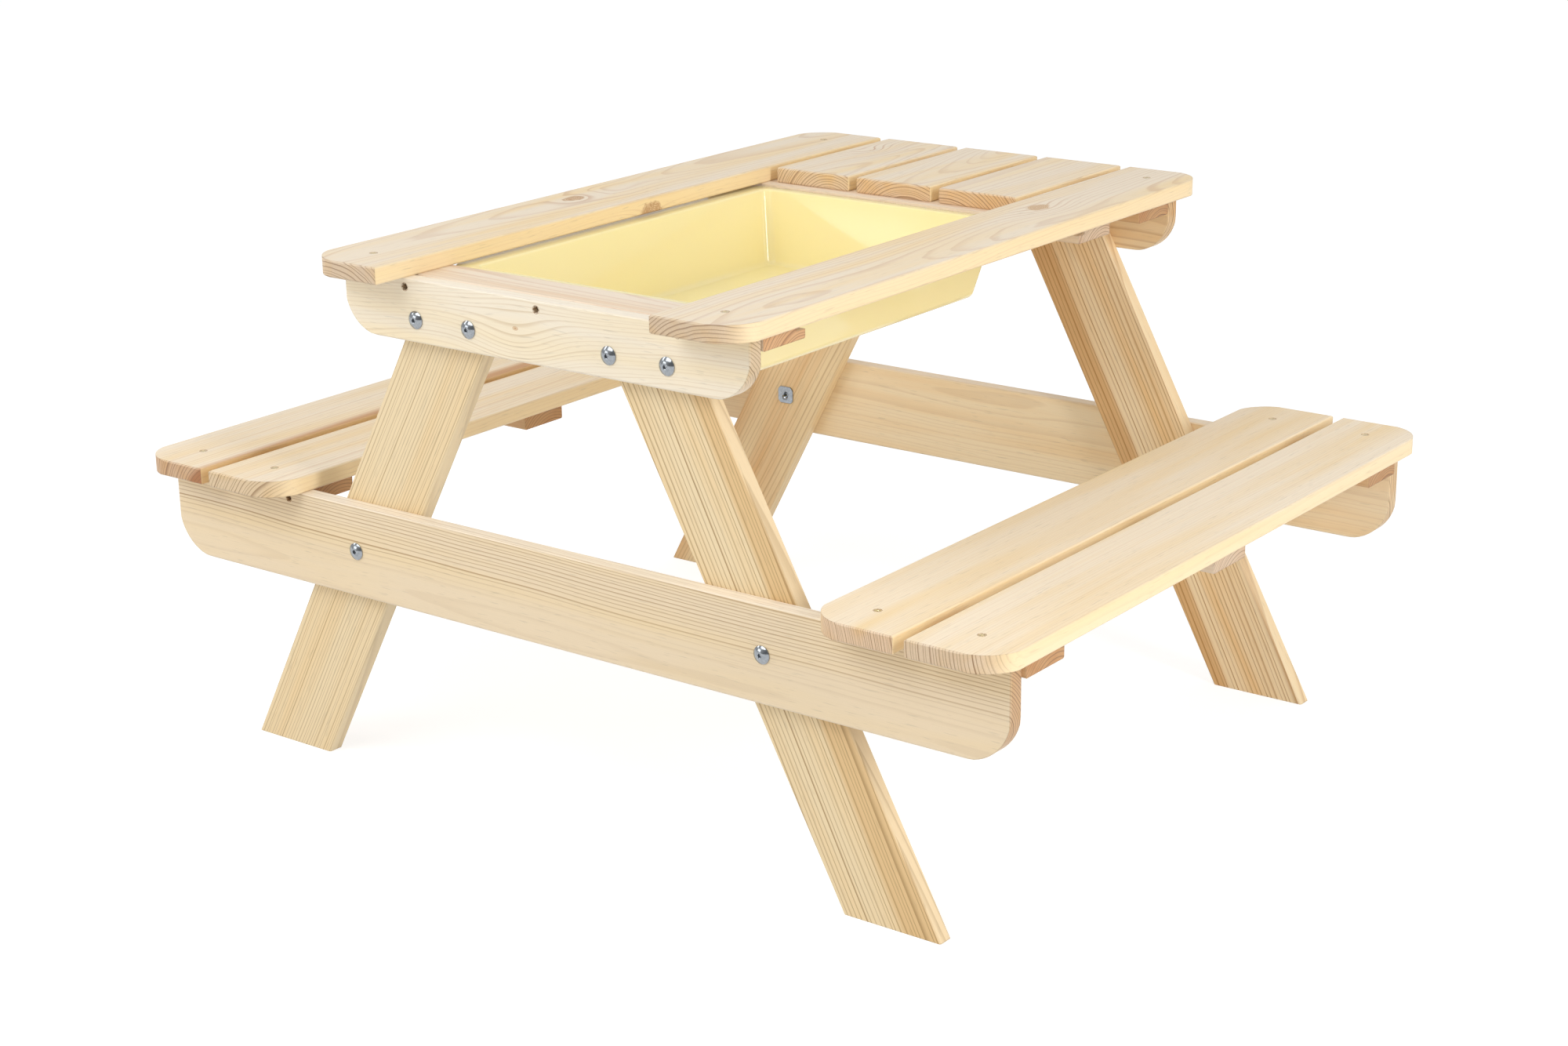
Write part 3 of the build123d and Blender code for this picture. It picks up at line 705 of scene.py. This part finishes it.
# Each knot's axis goes through the board's face or, for one, through its edge
THROUGH_FACE, THROUGH_EDGE = (0, 0, 1), (0, 1, 0)
KNOTS = {
    "left_top_plank": [
        {"Centre": (-55, 14, 0), "Axis": THROUGH_FACE, "Radius": 9, "Reach": 26, "Swirl": 8},
        {"Centre": (-6, -45, -8), "Axis": THROUGH_EDGE, "Radius": 11, "Reach": 24, "Swirl": 6},
    ],
    "right_top_plank": [
        {"Centre": (158, 12, 0), "Axis": THROUGH_FACE, "Radius": 10, "Reach": 28, "Swirl": 8},
    ],
    "left_short_plank": [
        {"Centre": (32, 20, 0), "Axis": THROUGH_FACE, "Radius": 1.5, "Reach": 24, "Swirl": 12},
    ],
    "near_apron": [
        {"Centre": (-25, -1, 0), "Axis": THROUGH_FACE, "Radius": 2, "Reach": 34, "Swirl": 7},
    ],
}


def box_corners(node):
    """A node's lowest and highest corners in millimetres."""
    low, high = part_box(node)
    return Vector(low) / MM, Vector(high) / MM


def board_directions(node):
    """The middle of a board and the turn that takes X, Y, Z to its long, wide and thin ways."""
    low, high = box_corners(node)
    size = high - low
    if node.endswith("_leg"):
        points = [vertex.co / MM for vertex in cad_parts[node].data.vertices]
        feet = [p.x for p in points if p.z < low.z + 1]
        heads = [p.x for p in points if p.z > high.z - 1]
        rise = Vector(((max(heads) + min(heads) - max(feet) - min(feet)) / 2, 0, size.z))
        long_way = rise.normalized()
        thin_way = Vector((0, 1, 0))
    else:
        order = sorted(range(3), key=lambda axis: size[axis])
        long_way = Vector([float(axis == order[2]) for axis in range(3)])
        thin_way = Vector([float(axis == order[0]) for axis in range(3)])
    wide_way = thin_way.cross(long_way)
    turn = Matrix((long_way, wide_way, thin_way)).transposed()
    return (low + high) / 2, turn


print("boards with values of their own:", len(BOARDS), "knots:", sum(map(len, KNOTS.values())))

# %% [markdown]
# The surface is planed, bare pine. It scatters nearly all light and has only a faint sheen,
# and a plane leaves the hard summer wood a hair proud of the soft spring wood. A plane also
# takes the sharpness off an edge, so the shading rounds the edges a little.

# %% Planed pine
EDGE_ROUNDING_MM = 1.5
LINE_HEIGHT_MM = 0.15
NEVER_PLAIN = (1000, 1001)  # millimetres, further out than any board reaches


def planed_pine(
    node, seed, tone, pith, lean, ring, wave, contrast,
    plain=NEVER_PLAIN, heart=0.0, heart_wood="#DDB27A", end=(0.76, 0.67, 0.58),
):
    """Planed pine for one board: its colour, sheen and relief."""
    middle, turn = board_directions(node)
    material, tree = new_material("planed_pine_" + node)
    turned = tuple(turn.to_euler())
    at = add_node(tree, "ShaderNodeTexCoord", output="Object")
    place = add_node(
        tree, "ShaderNodeMapping",
        {"Vector": at, "Location": middle * MM, "Rotation": turned, "Scale": (MM, MM, MM)},
        vector_type="TEXTURE",
    )
    facing = add_node(tree, "ShaderNodeTexCoord", output="Normal")
    facing = add_node(
        tree, "ShaderNodeMapping", {"Vector": facing, "Rotation": turned}, vector_type="TEXTURE"
    )
    push, mask, rings = 0.0, 0.0, 0.0
    for knot in KNOTS.get(node, []):
        bent = add_node(
            tree, "ShaderNodeGroup", {"Place": place, **knot}, output=None, node_tree=pine_knot
        ).outputs
        place = bent["Place"]
        push = add_node(tree, "ShaderNodeMath", [bent["Push"], push], operation="ADD")
        mask = add_node(tree, "ShaderNodeMath", [bent["Mask"], mask], operation="MAXIMUM")
        rings = add_node(tree, "ShaderNodeMath", [bent["Ring"], rings], operation="MAXIMUM")
    # The fourth tone is the painted light on the board's edges
    spring, summer, warm, edge = [linear(colour) for colour in TONES[tone]]
    values = {
        "Place": place, "Facing": facing, "Pith": (0, *pith), "Lean": (0, *lean),
        "Ring": ring, "Wave": wave, "Contrast": contrast, "Seed": float(seed),
        "Push": push, "Knot": mask, "Knot ring": rings,
        "Plain from": plain[0], "Plain to": plain[1],
        "Heart to": heart, "Heart wood": linear(heart_wood),
        "Spring wood": spring, "Summer wood": summer, "Warm wood": warm, "Edge painted light": edge,
        "End tint": end,
    }
    log = add_node(tree, "ShaderNodeGroup", values, output=None, node_tree=pine_log).outputs
    rounded = add_node(tree, "ShaderNodeBevel", {"Radius": EDGE_ROUNDING_MM * MM}, samples=4)
    relief = {"Distance": LINE_HEIGHT_MM * MM, "Height": log["Relief"], "Normal": rounded}
    normal = add_node(tree, "ShaderNodeBump", {"Strength": 0.25, **relief})
    surface = add_node(
        tree, "ShaderNodeBsdfPrincipled",
        {
            "Base Color": log["Colour"], "Roughness": 0.5, "Specular IOR Level": 0.5,
            "Normal": normal,
        },
    )
    add_node(tree, "ShaderNodeOutputMaterial", {"Surface": surface}, output=None)
    return material


kinds = ("plank", "apron", "beam", "leg", "batten")
boards = sorted(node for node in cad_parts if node.endswith(kinds))
for seed, node in enumerate(boards, start=1):
    wood = planed_pine(node, seed, **BOARDS.get(node, OTHER_BATTENS))
    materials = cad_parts[node].data.materials
    materials.clear()
    materials.append(wood)
print("boards:", len(boards))

# %% [markdown]
# The tray and every fastener is built the same way: as a row of closed loops, each joined to
# the next by a band of faces. A loop can be a circle, a hexagon or a rounded rectangle, as
# long as all have as many points.

# %% Loops
LOOP_POINTS = 48
SHARP_ANGLE = 35            # degrees, above which an edge stays sharp to the eye


def joined_loops(mesh, loops, transform, closed=True, slot=0):
    """Add a skin through closed loops of points to a bmesh, with its ends filled or left open."""
    rows = [[mesh.verts.new(transform @ Vector(point)) for point in loop] for loop in loops]
    count = len(rows[0])
    faces = []
    for row, following in zip(rows, rows[1:]):
        for index in range(count):
            after = (index + 1) % count
            corners = (row[index], row[after], following[after], following[index])
            faces.append(mesh.faces.new(corners))
    if closed:
        faces.append(mesh.faces.new(list(reversed(rows[0]))))
        faces.append(mesh.faces.new(rows[-1]))
    for face in faces:
        face.material_index = slot
        face.smooth = True


def round_loops(profile):
    """Level loops about Z, from rows of radius and height. A radius may depend on the angle."""
    turns = [2 * pi * index / LOOP_POINTS for index in range(LOOP_POINTS)]
    loops = []
    for radius, height in profile:
        reaches = [radius(turn) if callable(radius) else radius for turn in turns]
        loops.append([
            (reach * cos(turn), reach * sin(turn), height) for reach, turn in zip(reaches, turns)
        ])
    return loops


def finished_object(name, mesh, materials):
    """Turn a bmesh in millimetres into an object in metres, smooth but for its sharp edges."""
    bmesh.ops.scale(mesh, vec=(MM, MM, MM), verts=mesh.verts)
    bmesh.ops.recalc_face_normals(mesh, faces=mesh.faces)
    for edge in mesh.edges:
        inner = len(edge.link_faces) == 2
        edge.smooth = inner and edge.calc_face_angle() < radians(SHARP_ANGLE)
    data = bpy.data.meshes.new(name)
    mesh.to_mesh(data)
    mesh.free()
    for material in materials:
        data.materials.append(material)
    made = bpy.data.objects.new(name, data)
    bpy.context.scene.collection.objects.link(made)
    return made


print("points in a round loop:", LOOP_POINTS)

# %% [markdown]
# The tray is injection moulded from polypropylene, a waxy plastic with a smooth gloss. The
# mould gives every corner a radius, and walls that lean out so that the tray lets go of it.
# The tray is one closed skin. Its section runs from the bottom up the outside of the wall,
# out under the flange, down and round the flange's turned-down edge, back over the flange,
# round the rim, down the inside of the wall and along the floor. Each point of the section
# is a rounded rectangle, so a handful of numbers makes the whole form.

# %% Tray section
TRAY = "sand_tray"
TRAY_WALL = 2.5
TRAY_DRAFT = radians(13)
TRAY_CORNER = 12.0
FOOT_RADIUS = 9.0
RIM_RADIUS = 2.8
END_FLANGE = 10.0           # over the rebates
SIDE_FLANGE = 21.5          # runs on under the long planks
FLANGE_CORNER = 18.0
FLANGE_EDGE = 6.0
LIP_RADIUS = 0.8
CORNER_STEPS = 16
ROUNDING_STEPS = 8


def rounded_loop(width, length, radius, height):
    """A level rectangle about Z with rounded corners."""
    points = []
    for quarter, (across, along) in enumerate(((1, 1), (-1, 1), (-1, -1), (1, -1))):
        middle = Vector((across * (width / 2 - radius), along * (length / 2 - radius), height))
        for step in range(CORNER_STEPS + 1):
            turn = pi / 2 * (quarter + step / CORNER_STEPS)
            points.append(middle + radius * Vector((cos(turn), sin(turn), 0)))
    return points


def rounding(radius):
    """Distances from the wall and from the level face along a rounded edge, wall first."""
    sweep = pi / 2 - TRAY_DRAFT
    turns = [TRAY_DRAFT + sweep * step / ROUNDING_STEPS for step in range(ROUNDING_STEPS + 1)]
    return [(radius * (cos(TRAY_DRAFT) - cos(turn)), radius * (1 - sin(turn))) for turn in turns]


def wall_section(corner, depth, foot):
    """One side of the wall from near its mouth to its bottom: outset, corner radius, depth."""
    lean = (depth - foot * (1 - sin(TRAY_DRAFT))) * tan(TRAY_DRAFT)
    return [(-inward - lean, corner - inward, depth - up) for inward, up in rounding(foot)]


def rim_section(corner, rim):
    """The rounded edge between the flange's top and the inside of the wall."""
    lean = rim * (1 - sin(TRAY_DRAFT)) * tan(TRAY_DRAFT)
    return [(outward - lean, corner + outward, down) for outward, down in reversed(rounding(rim))]


print("tray in mm:", [round(size) for size in box_corners(TRAY)[1] - box_corners(TRAY)[0]])

# %% [markdown]
# Polypropylene scatters light just under its surface, which softens shadows in the corners,
# and its skin copies the polish of the mould. So the finish is an even pale yellow with a
# little light let in, a low roughness, and slow waves that bend the reflections a little.

# %% Tray finish
FLOW_MM = 120.0             # across a patch where the melt flowed in one way
WAVE_MM = 45.0              # across a wave in the polished face
GRIT_MM = 0.5               # across a fleck in the polish, drawn coarse enough to show
GLOW_MM = (3, 2.4, 1.2)     # how far red, green and blue light go under the surface


def polypropylene():
    """Glossy moulded polypropylene: an even pale yellow that lets in a little light."""
    material, tree = new_material("moulded_polypropylene")
    at = add_node(tree, "ShaderNodeTexCoord", output="Object")
    flow, waves, grit = [
        add_node(
            tree, "ShaderNodeTexNoise", {"Vector": at, "Scale": 1 / (size * MM), "Detail": detail}
        )
        for size, detail in ((FLOW_MM, 1.0), (WAVE_MM, 0.0), (GRIT_MM, 1.0))
    ]
    colour = {0: flow, 6: linear("#F9EBB6"), 7: linear("#F7E9AC")}
    colour = add_node(tree, "ShaderNodeMix", colour, **MIX_COLOURS)
    relief = add_node(tree, "ShaderNodeMath", [grit, 0.02, waves], operation="MULTIPLY_ADD")
    relief = {"Strength": 0.3, "Distance": 0.35 * MM, "Height": relief}
    normal = add_node(tree, "ShaderNodeBump", relief)
    roughness = add_node(tree, "ShaderNodeMapRange", [grit, 0.0, 1.0, 0.05, 0.1])
    surface = add_node(
        tree, "ShaderNodeBsdfPrincipled",
        {
            "Base Color": colour, "Roughness": roughness, "IOR": 1.49, "Normal": normal,
            "Subsurface Weight": 0.1, "Subsurface Radius": [reach * MM for reach in GLOW_MM],
            "Subsurface Scale": 1.0,
        },
    )
    add_node(tree, "ShaderNodeOutputMaterial", {"Surface": surface}, output=None)
    return material


moulded_plastic = polypropylene()
print("tray finish:", moulded_plastic.name)

# %% [markdown]
# The section is written as rows of outset from the tray's mouth, corner radius and depth. The
# flange is wider at the sides than at the ends, so the rows of its edge are widened by that
# difference, and the flat faces of the flange span what lies between.

# %% Build the tray
def build_tray():
    """The tray as one closed skin, from the bottom up the outside and down the inside."""
    low, high = box_corners(TRAY)
    flange = high - low
    mouth = Vector((flange.x - 2 * SIDE_FLANGE, flange.y - 2 * END_FLANGE))
    extra = SIDE_FLANGE - END_FLANGE
    depth = high.z - low.z - TRAY_WALL
    inset = TRAY_WALL * (1 - tan(TRAY_DRAFT))
    drop = FLANGE_EDGE - TRAY_WALL
    outside = [(0, TRAY_CORNER, 0), *wall_section(TRAY_CORNER, depth, FOOT_RADIUS)]
    edge = [
        (END_FLANGE - inward, FLANGE_CORNER - inward, down)
        for inward, down in (
            (TRAY_WALL, 0), (TRAY_WALL, drop), (0, drop), (0, LIP_RADIUS - TRAY_WALL),
            (LIP_RADIUS / 3, LIP_RADIUS / 3 - TRAY_WALL), (LIP_RADIUS, -TRAY_WALL),
        )
    ]
    inside = [
        (outset - inset, corner, down - TRAY_WALL)
        for outset, corner, down in (
            *rim_section(TRAY_CORNER - TRAY_WALL, RIM_RADIUS),
            *wall_section(TRAY_CORNER - TRAY_WALL, depth, FOOT_RADIUS - TRAY_WALL),
        )
    ]
    loops = []
    for widening, part in ((0, reversed(outside)), (extra, edge), (0, inside)):
        for outset, corner, down in part:
            width = mouth.x + 2 * (outset + widening)
            loops.append(rounded_loop(width, mouth.y + 2 * outset, corner, -down))
    middle = Vector(((low.x + high.x) / 2, (low.y + high.y) / 2, high.z - TRAY_WALL))
    mesh = bmesh.new()
    joined_loops(mesh, loops, Matrix.Translation(middle))
    return finished_object("moulded_tray", mesh, [moulded_plastic])


tray = build_tray()
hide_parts(TRAY)
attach(tray, "tray")
print("tray faces:", len(tray.data.polygons))

# %% [markdown]
# The bolts, tee nuts and most screws are steel with a thin bright coat of zinc. Zinc is a
# pale, slightly blue metal, and the coat is a little uneven, so highlights are soft and
# broken. The screws in the planks have the yellow kind of zinc, which hardly shows on pine.
# Some screws stand at the bottom of a bored hole. Its wall is torn wood, browner and rougher
# than the planed face, and its colour is darkened further with painted shade.

# %% Zinc plate and bored wood
SPANGLE_MM = 2.0            # across a rub mark in the zinc
ZINC_GRAIN_MM = 0.3
TEAR_MM = 0.6               # across a torn fibre


def zinc_plate(name, bright, dull, smooth, rough):
    """Zinc plate on steel, between two tones and two roughnesses: a slightly uneven polish."""
    material, tree = new_material(name)
    at = add_node(tree, "ShaderNodeTexCoord", output="Object")
    spangle = {"Vector": at, "Scale": 1 / (SPANGLE_MM * MM), "Detail": 2.0}
    spangle = add_node(tree, "ShaderNodeTexNoise", spangle)
    grain = {"Vector": at, "Scale": 1 / (ZINC_GRAIN_MM * MM), "Detail": 1.0}
    grain = add_node(tree, "ShaderNodeTexNoise", grain)
    colour = {0: spangle, 6: linear(bright), 7: linear(dull)}
    colour = add_node(tree, "ShaderNodeMix", colour, **MIX_COLOURS)
    roughness = add_node(tree, "ShaderNodeMapRange", [spangle, 0.0, 1.0, smooth, rough])
    relief = {"Strength": 0.15, "Distance": 0.05 * MM, "Height": grain}
    normal = add_node(tree, "ShaderNodeBump", relief)
    surface = add_node(
        tree, "ShaderNodeBsdfPrincipled",
        {"Base Color": colour, "Metallic": 1.0, "Roughness": roughness, "Normal": normal},
    )
    add_node(tree, "ShaderNodeOutputMaterial", {"Surface": surface}, output=None)
    return material


def bored_pine_painted_shade():
    """The wall of a bored hole: torn fibres, browner than the planed face and darkened with painted
    shade.
    """
    material, tree = new_material("bored_pine_painted_shade")
    at = add_node(tree, "ShaderNodeTexCoord", output="Object")
    tears = {"Vector": at, "Scale": 1 / (TEAR_MM * MM), "Detail": 3.0}
    tears = add_node(tree, "ShaderNodeTexNoise", tears)
    # Partly painted shade: the torn wood's brown, made darker for the shade in the hole
    colour = {0: tears, 6: linear("#B98D5C"), 7: linear("#7E5730")}
    colour = add_node(tree, "ShaderNodeMix", colour, **MIX_COLOURS)
    relief = {"Strength": 0.5, "Distance": 0.2 * MM, "Height": tears}
    normal = add_node(tree, "ShaderNodeBump", relief)
    surface = add_node(
        tree, "ShaderNodeBsdfPrincipled",
        {"Base Color": colour, "Roughness": 0.85, "Specular IOR Level": 0.2, "Normal": normal},
    )
    add_node(tree, "ShaderNodeOutputMaterial", {"Surface": surface}, output=None)
    return material


bright_zinc = zinc_plate("bright_zinc_plated_steel", "#AEB2B6", "#83898F", 0.08, 0.2)
yellow_zinc = zinc_plate("yellow_zinc_plated_steel", "#F2E8CC", "#E2D4B0", 0.35, 0.5)
bored = bored_pine_painted_shade()
print("finishes:", bright_zinc.name, yellow_zinc.name, bored.name)

# %% [markdown]
# A dome-head bolt is turned and then pressed. Its head is a slice of a ball on a short
# straight edge, with a hexagon socket for the key. The shank is hidden in the boards.

# %% Bolts
BOLT_HEAD_RADIUS, BOLT_HEAD_HEIGHT = 8.25, 3.6
BOLT_HEAD_EDGE = 0.8        # height of the straight edge below the dome
BOLT_SHANK_RADIUS, BOLT_SHANK_LENGTH = 2.85, 29.5
SOCKET_FLATS, SOCKET_DEPTH = 4.0, 2.2
DOME_SHARES = (1.0, 0.97, 0.9, 0.8, 0.68, 0.55, 0.42, 0.34)     # of the head's radius


def hexagon(across_flats):
    """Radius of a hexagon as a function of the angle."""
    return lambda turn: across_flats / 2 / cos((turn % (pi / 3)) - pi / 6)


def dome_head(mesh, transform):
    """A round-headed bolt with a hexagon socket, its head on height 0."""
    rim, height = BOLT_HEAD_RADIUS, BOLT_HEAD_HEIGHT
    rise = height - BOLT_HEAD_EDGE
    ball = (rim ** 2 + rise ** 2) / (2 * rise)
    dome = [
        (share * rim, height - ball + sqrt(ball ** 2 - (share * rim) ** 2))
        for share in DOME_SHARES
    ]
    socket = hexagon(SOCKET_FLATS)
    profile = [
        (BOLT_SHANK_RADIUS, -BOLT_SHANK_LENGTH), (BOLT_SHANK_RADIUS, 0),
        (rim - 0.3, 0), (rim, 0.3), *dome,
        (socket, dome[-1][1] - 0.25), (socket, height - SOCKET_DEPTH),
        (0.4, height - SOCKET_DEPTH - 0.4),
    ]
    joined_loops(mesh, round_loops(profile), transform)


print("bolt head in mm:", 2 * BOLT_HEAD_RADIUS, "wide,", BOLT_HEAD_HEIGHT, "high")

# %% [markdown]
# The wood screws are countersunk, with a cross recess. In a bored hole the eye sees the rim,
# the dark wall and a little of the head at the bottom. In the planks the head is flush.

# %% Screws
SCREW_HOLE_MM = 7.1
SUNK_MM, FLUSH_MM = 8.0, 0.35   # from the face of the board down to the head


def cross_recess(turn):
    """Radius of a cross-shaped driver recess as a function of the angle."""
    return 0.75 + 1.15 * abs(cos(2 * turn)) ** 3


def recess_foot(turn):
    """The same cross, smaller, near the bottom of the recess."""
    return 0.6 * cross_recess(turn)


def sunk_screw(mesh, transform, sink=SUNK_MM):
    """A countersunk screw at the bottom of its bored hole, with the hole's wall round it."""
    hole = SCREW_HOLE_MM / 2
    wall = [
        (hole + 0.35, 0.02), (hole + 0.05, 0.03), (hole - 0.1, -0.25),
        (hole - 0.15, -sink - 0.1), (hole - 0.6, -sink - 0.4),
    ]
    joined_loops(mesh, round_loops(wall), transform, closed=False, slot=1)
    shank = [(1.9, -20), (1.9, -2.2)]
    head = [(3.25, -0.35), (3.3, 0), (2.9, 0.12), (2.1, 0.15)]
    recess = [(cross_recess, 0), (recess_foot, -1.3), (0.2, -1.6)]
    screw = [(radius, height - sink) for radius, height in (*shank, *head, *recess)]
    joined_loops(mesh, round_loops(screw), transform)


def flush_screw(mesh, transform):
    """A countersunk screw flush with the wood, its head on height 0."""
    sunk_screw(mesh, transform, sink=FLUSH_MM)


print("bored holes in mm:", SCREW_HOLE_MM, "wide,", SUNK_MM, "deep")

# %% [markdown]
# A tee nut is pressed from sheet steel: a plate with cut corners that lies on the wood, and a
# barrel in the leg that takes the bolt. The barrel is open at both ends.

# %% Tee nuts
PLATE_HALF_WIDTH, PLATE_HALF_HEIGHT = 10.0, 9.5
PLATE_CUT, PLATE_THICKNESS = 3.0, 1.5
PLATE_ROUNDING = 0.35
BARREL_RADIUS, BORE_RADIUS, BARREL_LENGTH = 3.9, 3.0, 9


def plate_outline(turn):
    """Radius of a plate with cut corners as a function of the angle."""
    across, up = max(abs(cos(turn)), 1e-6), max(abs(sin(turn)), 1e-6)
    corner = (PLATE_HALF_WIDTH + PLATE_HALF_HEIGHT - PLATE_CUT) / (abs(cos(turn)) + abs(sin(turn)))
    return min(PLATE_HALF_WIDTH / across, PLATE_HALF_HEIGHT / up, corner)


def plate_top(turn):
    """The same outline, smaller by the rounding of its edge."""
    return plate_outline(turn) - PLATE_ROUNDING


def tee_nut(mesh, transform):
    """A pressed tee nut: a plate with cut corners, and a barrel that is open at both ends."""
    top = PLATE_THICKNESS
    bore_top, bore_foot = (BORE_RADIUS, top - 1.1), (BORE_RADIUS, -BARREL_LENGTH)
    outside = [
        bore_foot, (BARREL_RADIUS, -BARREL_LENGTH), (BARREL_RADIUS, 0), (plate_outline, 0),
        (plate_outline, top - PLATE_ROUNDING), (plate_top, top), (BARREL_RADIUS + 0.7, top),
        (BARREL_RADIUS, top - PLATE_ROUNDING), bore_top,
    ]
    for profile in (outside, (bore_top, bore_foot)):
        joined_loops(mesh, round_loops(profile), transform, closed=False)


print("tee nut plate in mm:", 2 * PLATE_HALF_WIDTH, "by", 2 * PLATE_HALF_HEIGHT)

# %% [markdown]
# Each node of the frame holds all the fasteners of one kind in one place, so where each one
# stands is read from it. A solid of its own in the node's mesh is one fastener, and its box
# gives its middle. The face of the board that it stands on gives its height.

# %% Places for the fasteners
JOINED_WITHIN = 0.01 * MM   # corners of the frame's faces this near are one corner
WELD_MM = 0.0005            # loops of one fastener this near are one loop


def separate_solids(node):
    """The boxes, in millimetres, of the separate solids that one node holds."""
    mesh = bmesh.new()
    mesh.from_mesh(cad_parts[node].data)
    bmesh.ops.remove_doubles(mesh, verts=mesh.verts, dist=JOINED_WITHIN)
    boxes = []
    unseen = set(mesh.verts)
    while unseen:
        reached = [unseen.pop()]
        island = list(reached)
        while reached:
            for edge in reached.pop().link_edges:
                for vertex in edge.verts:
                    if vertex in unseen:
                        unseen.remove(vertex)
                        reached.append(vertex)
                        island.append(vertex)
        points = [vertex.co / MM for vertex in island]
        low = Vector([min(p[axis] for p in points) for axis in range(3)])
        high = Vector([max(p[axis] for p in points) for axis in range(3)])
        boxes.append((low, high))
    mesh.free()
    return sorted(boxes, key=lambda box: tuple(round(value, 1) for value in box[0]))


def outward_place(box, outward, surface):
    """The turn and place that stand a fastener on a surface, with +Z along outward."""
    low, high = box
    middle = (low + high) / 2
    axis = [abs(value) > 0.5 for value in outward].index(True)
    middle[axis] = surface
    turned = Vector((0, 0, 1)).rotation_difference(Vector(outward)).to_matrix().to_4x4()
    return Matrix.Translation(middle) @ turned


def end_of(box):
    """-1 for a fastener at the near end of the table and 1 for one at the far end."""
    return 1 if box[0].y + box[1].y > 0 else -1


def on_rail(box):
    """Outward from the outer face of an apron or a seat beam."""
    return (0, end_of(box), 0), end_of(box) * rail_face


def on_leg(box):
    """Inward from the inner face of a leg."""
    return (0, -end_of(box), 0), end_of(box) * leg_face


def on_level(up, height):
    """Up from a board's top face, or down from a batten's underside."""
    return lambda box: ((0, 0, up), height)


rail_face = box_corners("far_apron")[1].y
leg_face = box_corners("far_left_leg")[0].y
top_face = box_corners("left_top_plank")[1].z
seat_face = box_corners("left_bench_outer_plank")[1].z
top_batten_under = box_corners("near_top_batten")[0].z
bench_batten_under = box_corners("left_bench_near_batten")[0].z
print("faces in mm:", [round(face, 1) for face in (rail_face, leg_face, top_face, seat_face)])

# %% [markdown]
# Now every node's fasteners are built and take the node's place. All of them ride on the
# table's body.

# %% Build the fasteners
def build_fasteners(node, shape, place_of, metal):
    """All the fasteners of one node, as one object."""
    mesh = bmesh.new()
    boxes = separate_solids(node)
    for box in boxes:
        shape(mesh, outward_place(box, *place_of(box)))
    bmesh.ops.remove_doubles(mesh, verts=mesh.verts, dist=WELD_MM)
    made = finished_object(node + "_zinc", mesh, [metal, bored])
    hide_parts(node)
    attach(made, "table")
    print(made.name, len(boxes), "pieces")


for node, shape, place_of, metal in (
    ("apron_bolts", dome_head, on_rail, bright_zinc),
    ("seat_beam_bolts", dome_head, on_rail, bright_zinc),
    ("apron_tee_nuts", tee_nut, on_leg, bright_zinc),
    ("seat_beam_tee_nuts", tee_nut, on_leg, bright_zinc),
    ("apron_screws", sunk_screw, on_rail, bright_zinc),
    ("seat_beam_screws", sunk_screw, on_rail, bright_zinc),
    ("top_plank_screws", flush_screw, on_level(1, top_face), yellow_zinc),
    ("bench_plank_screws", flush_screw, on_level(1, seat_face), yellow_zinc),
    ("top_batten_screws", flush_screw, on_level(-1, top_batten_under), bright_zinc),
    ("bench_batten_screws", flush_screw, on_level(-1, bench_batten_under), bright_zinc),
):
    build_fasteners(node, shape, place_of, metal)
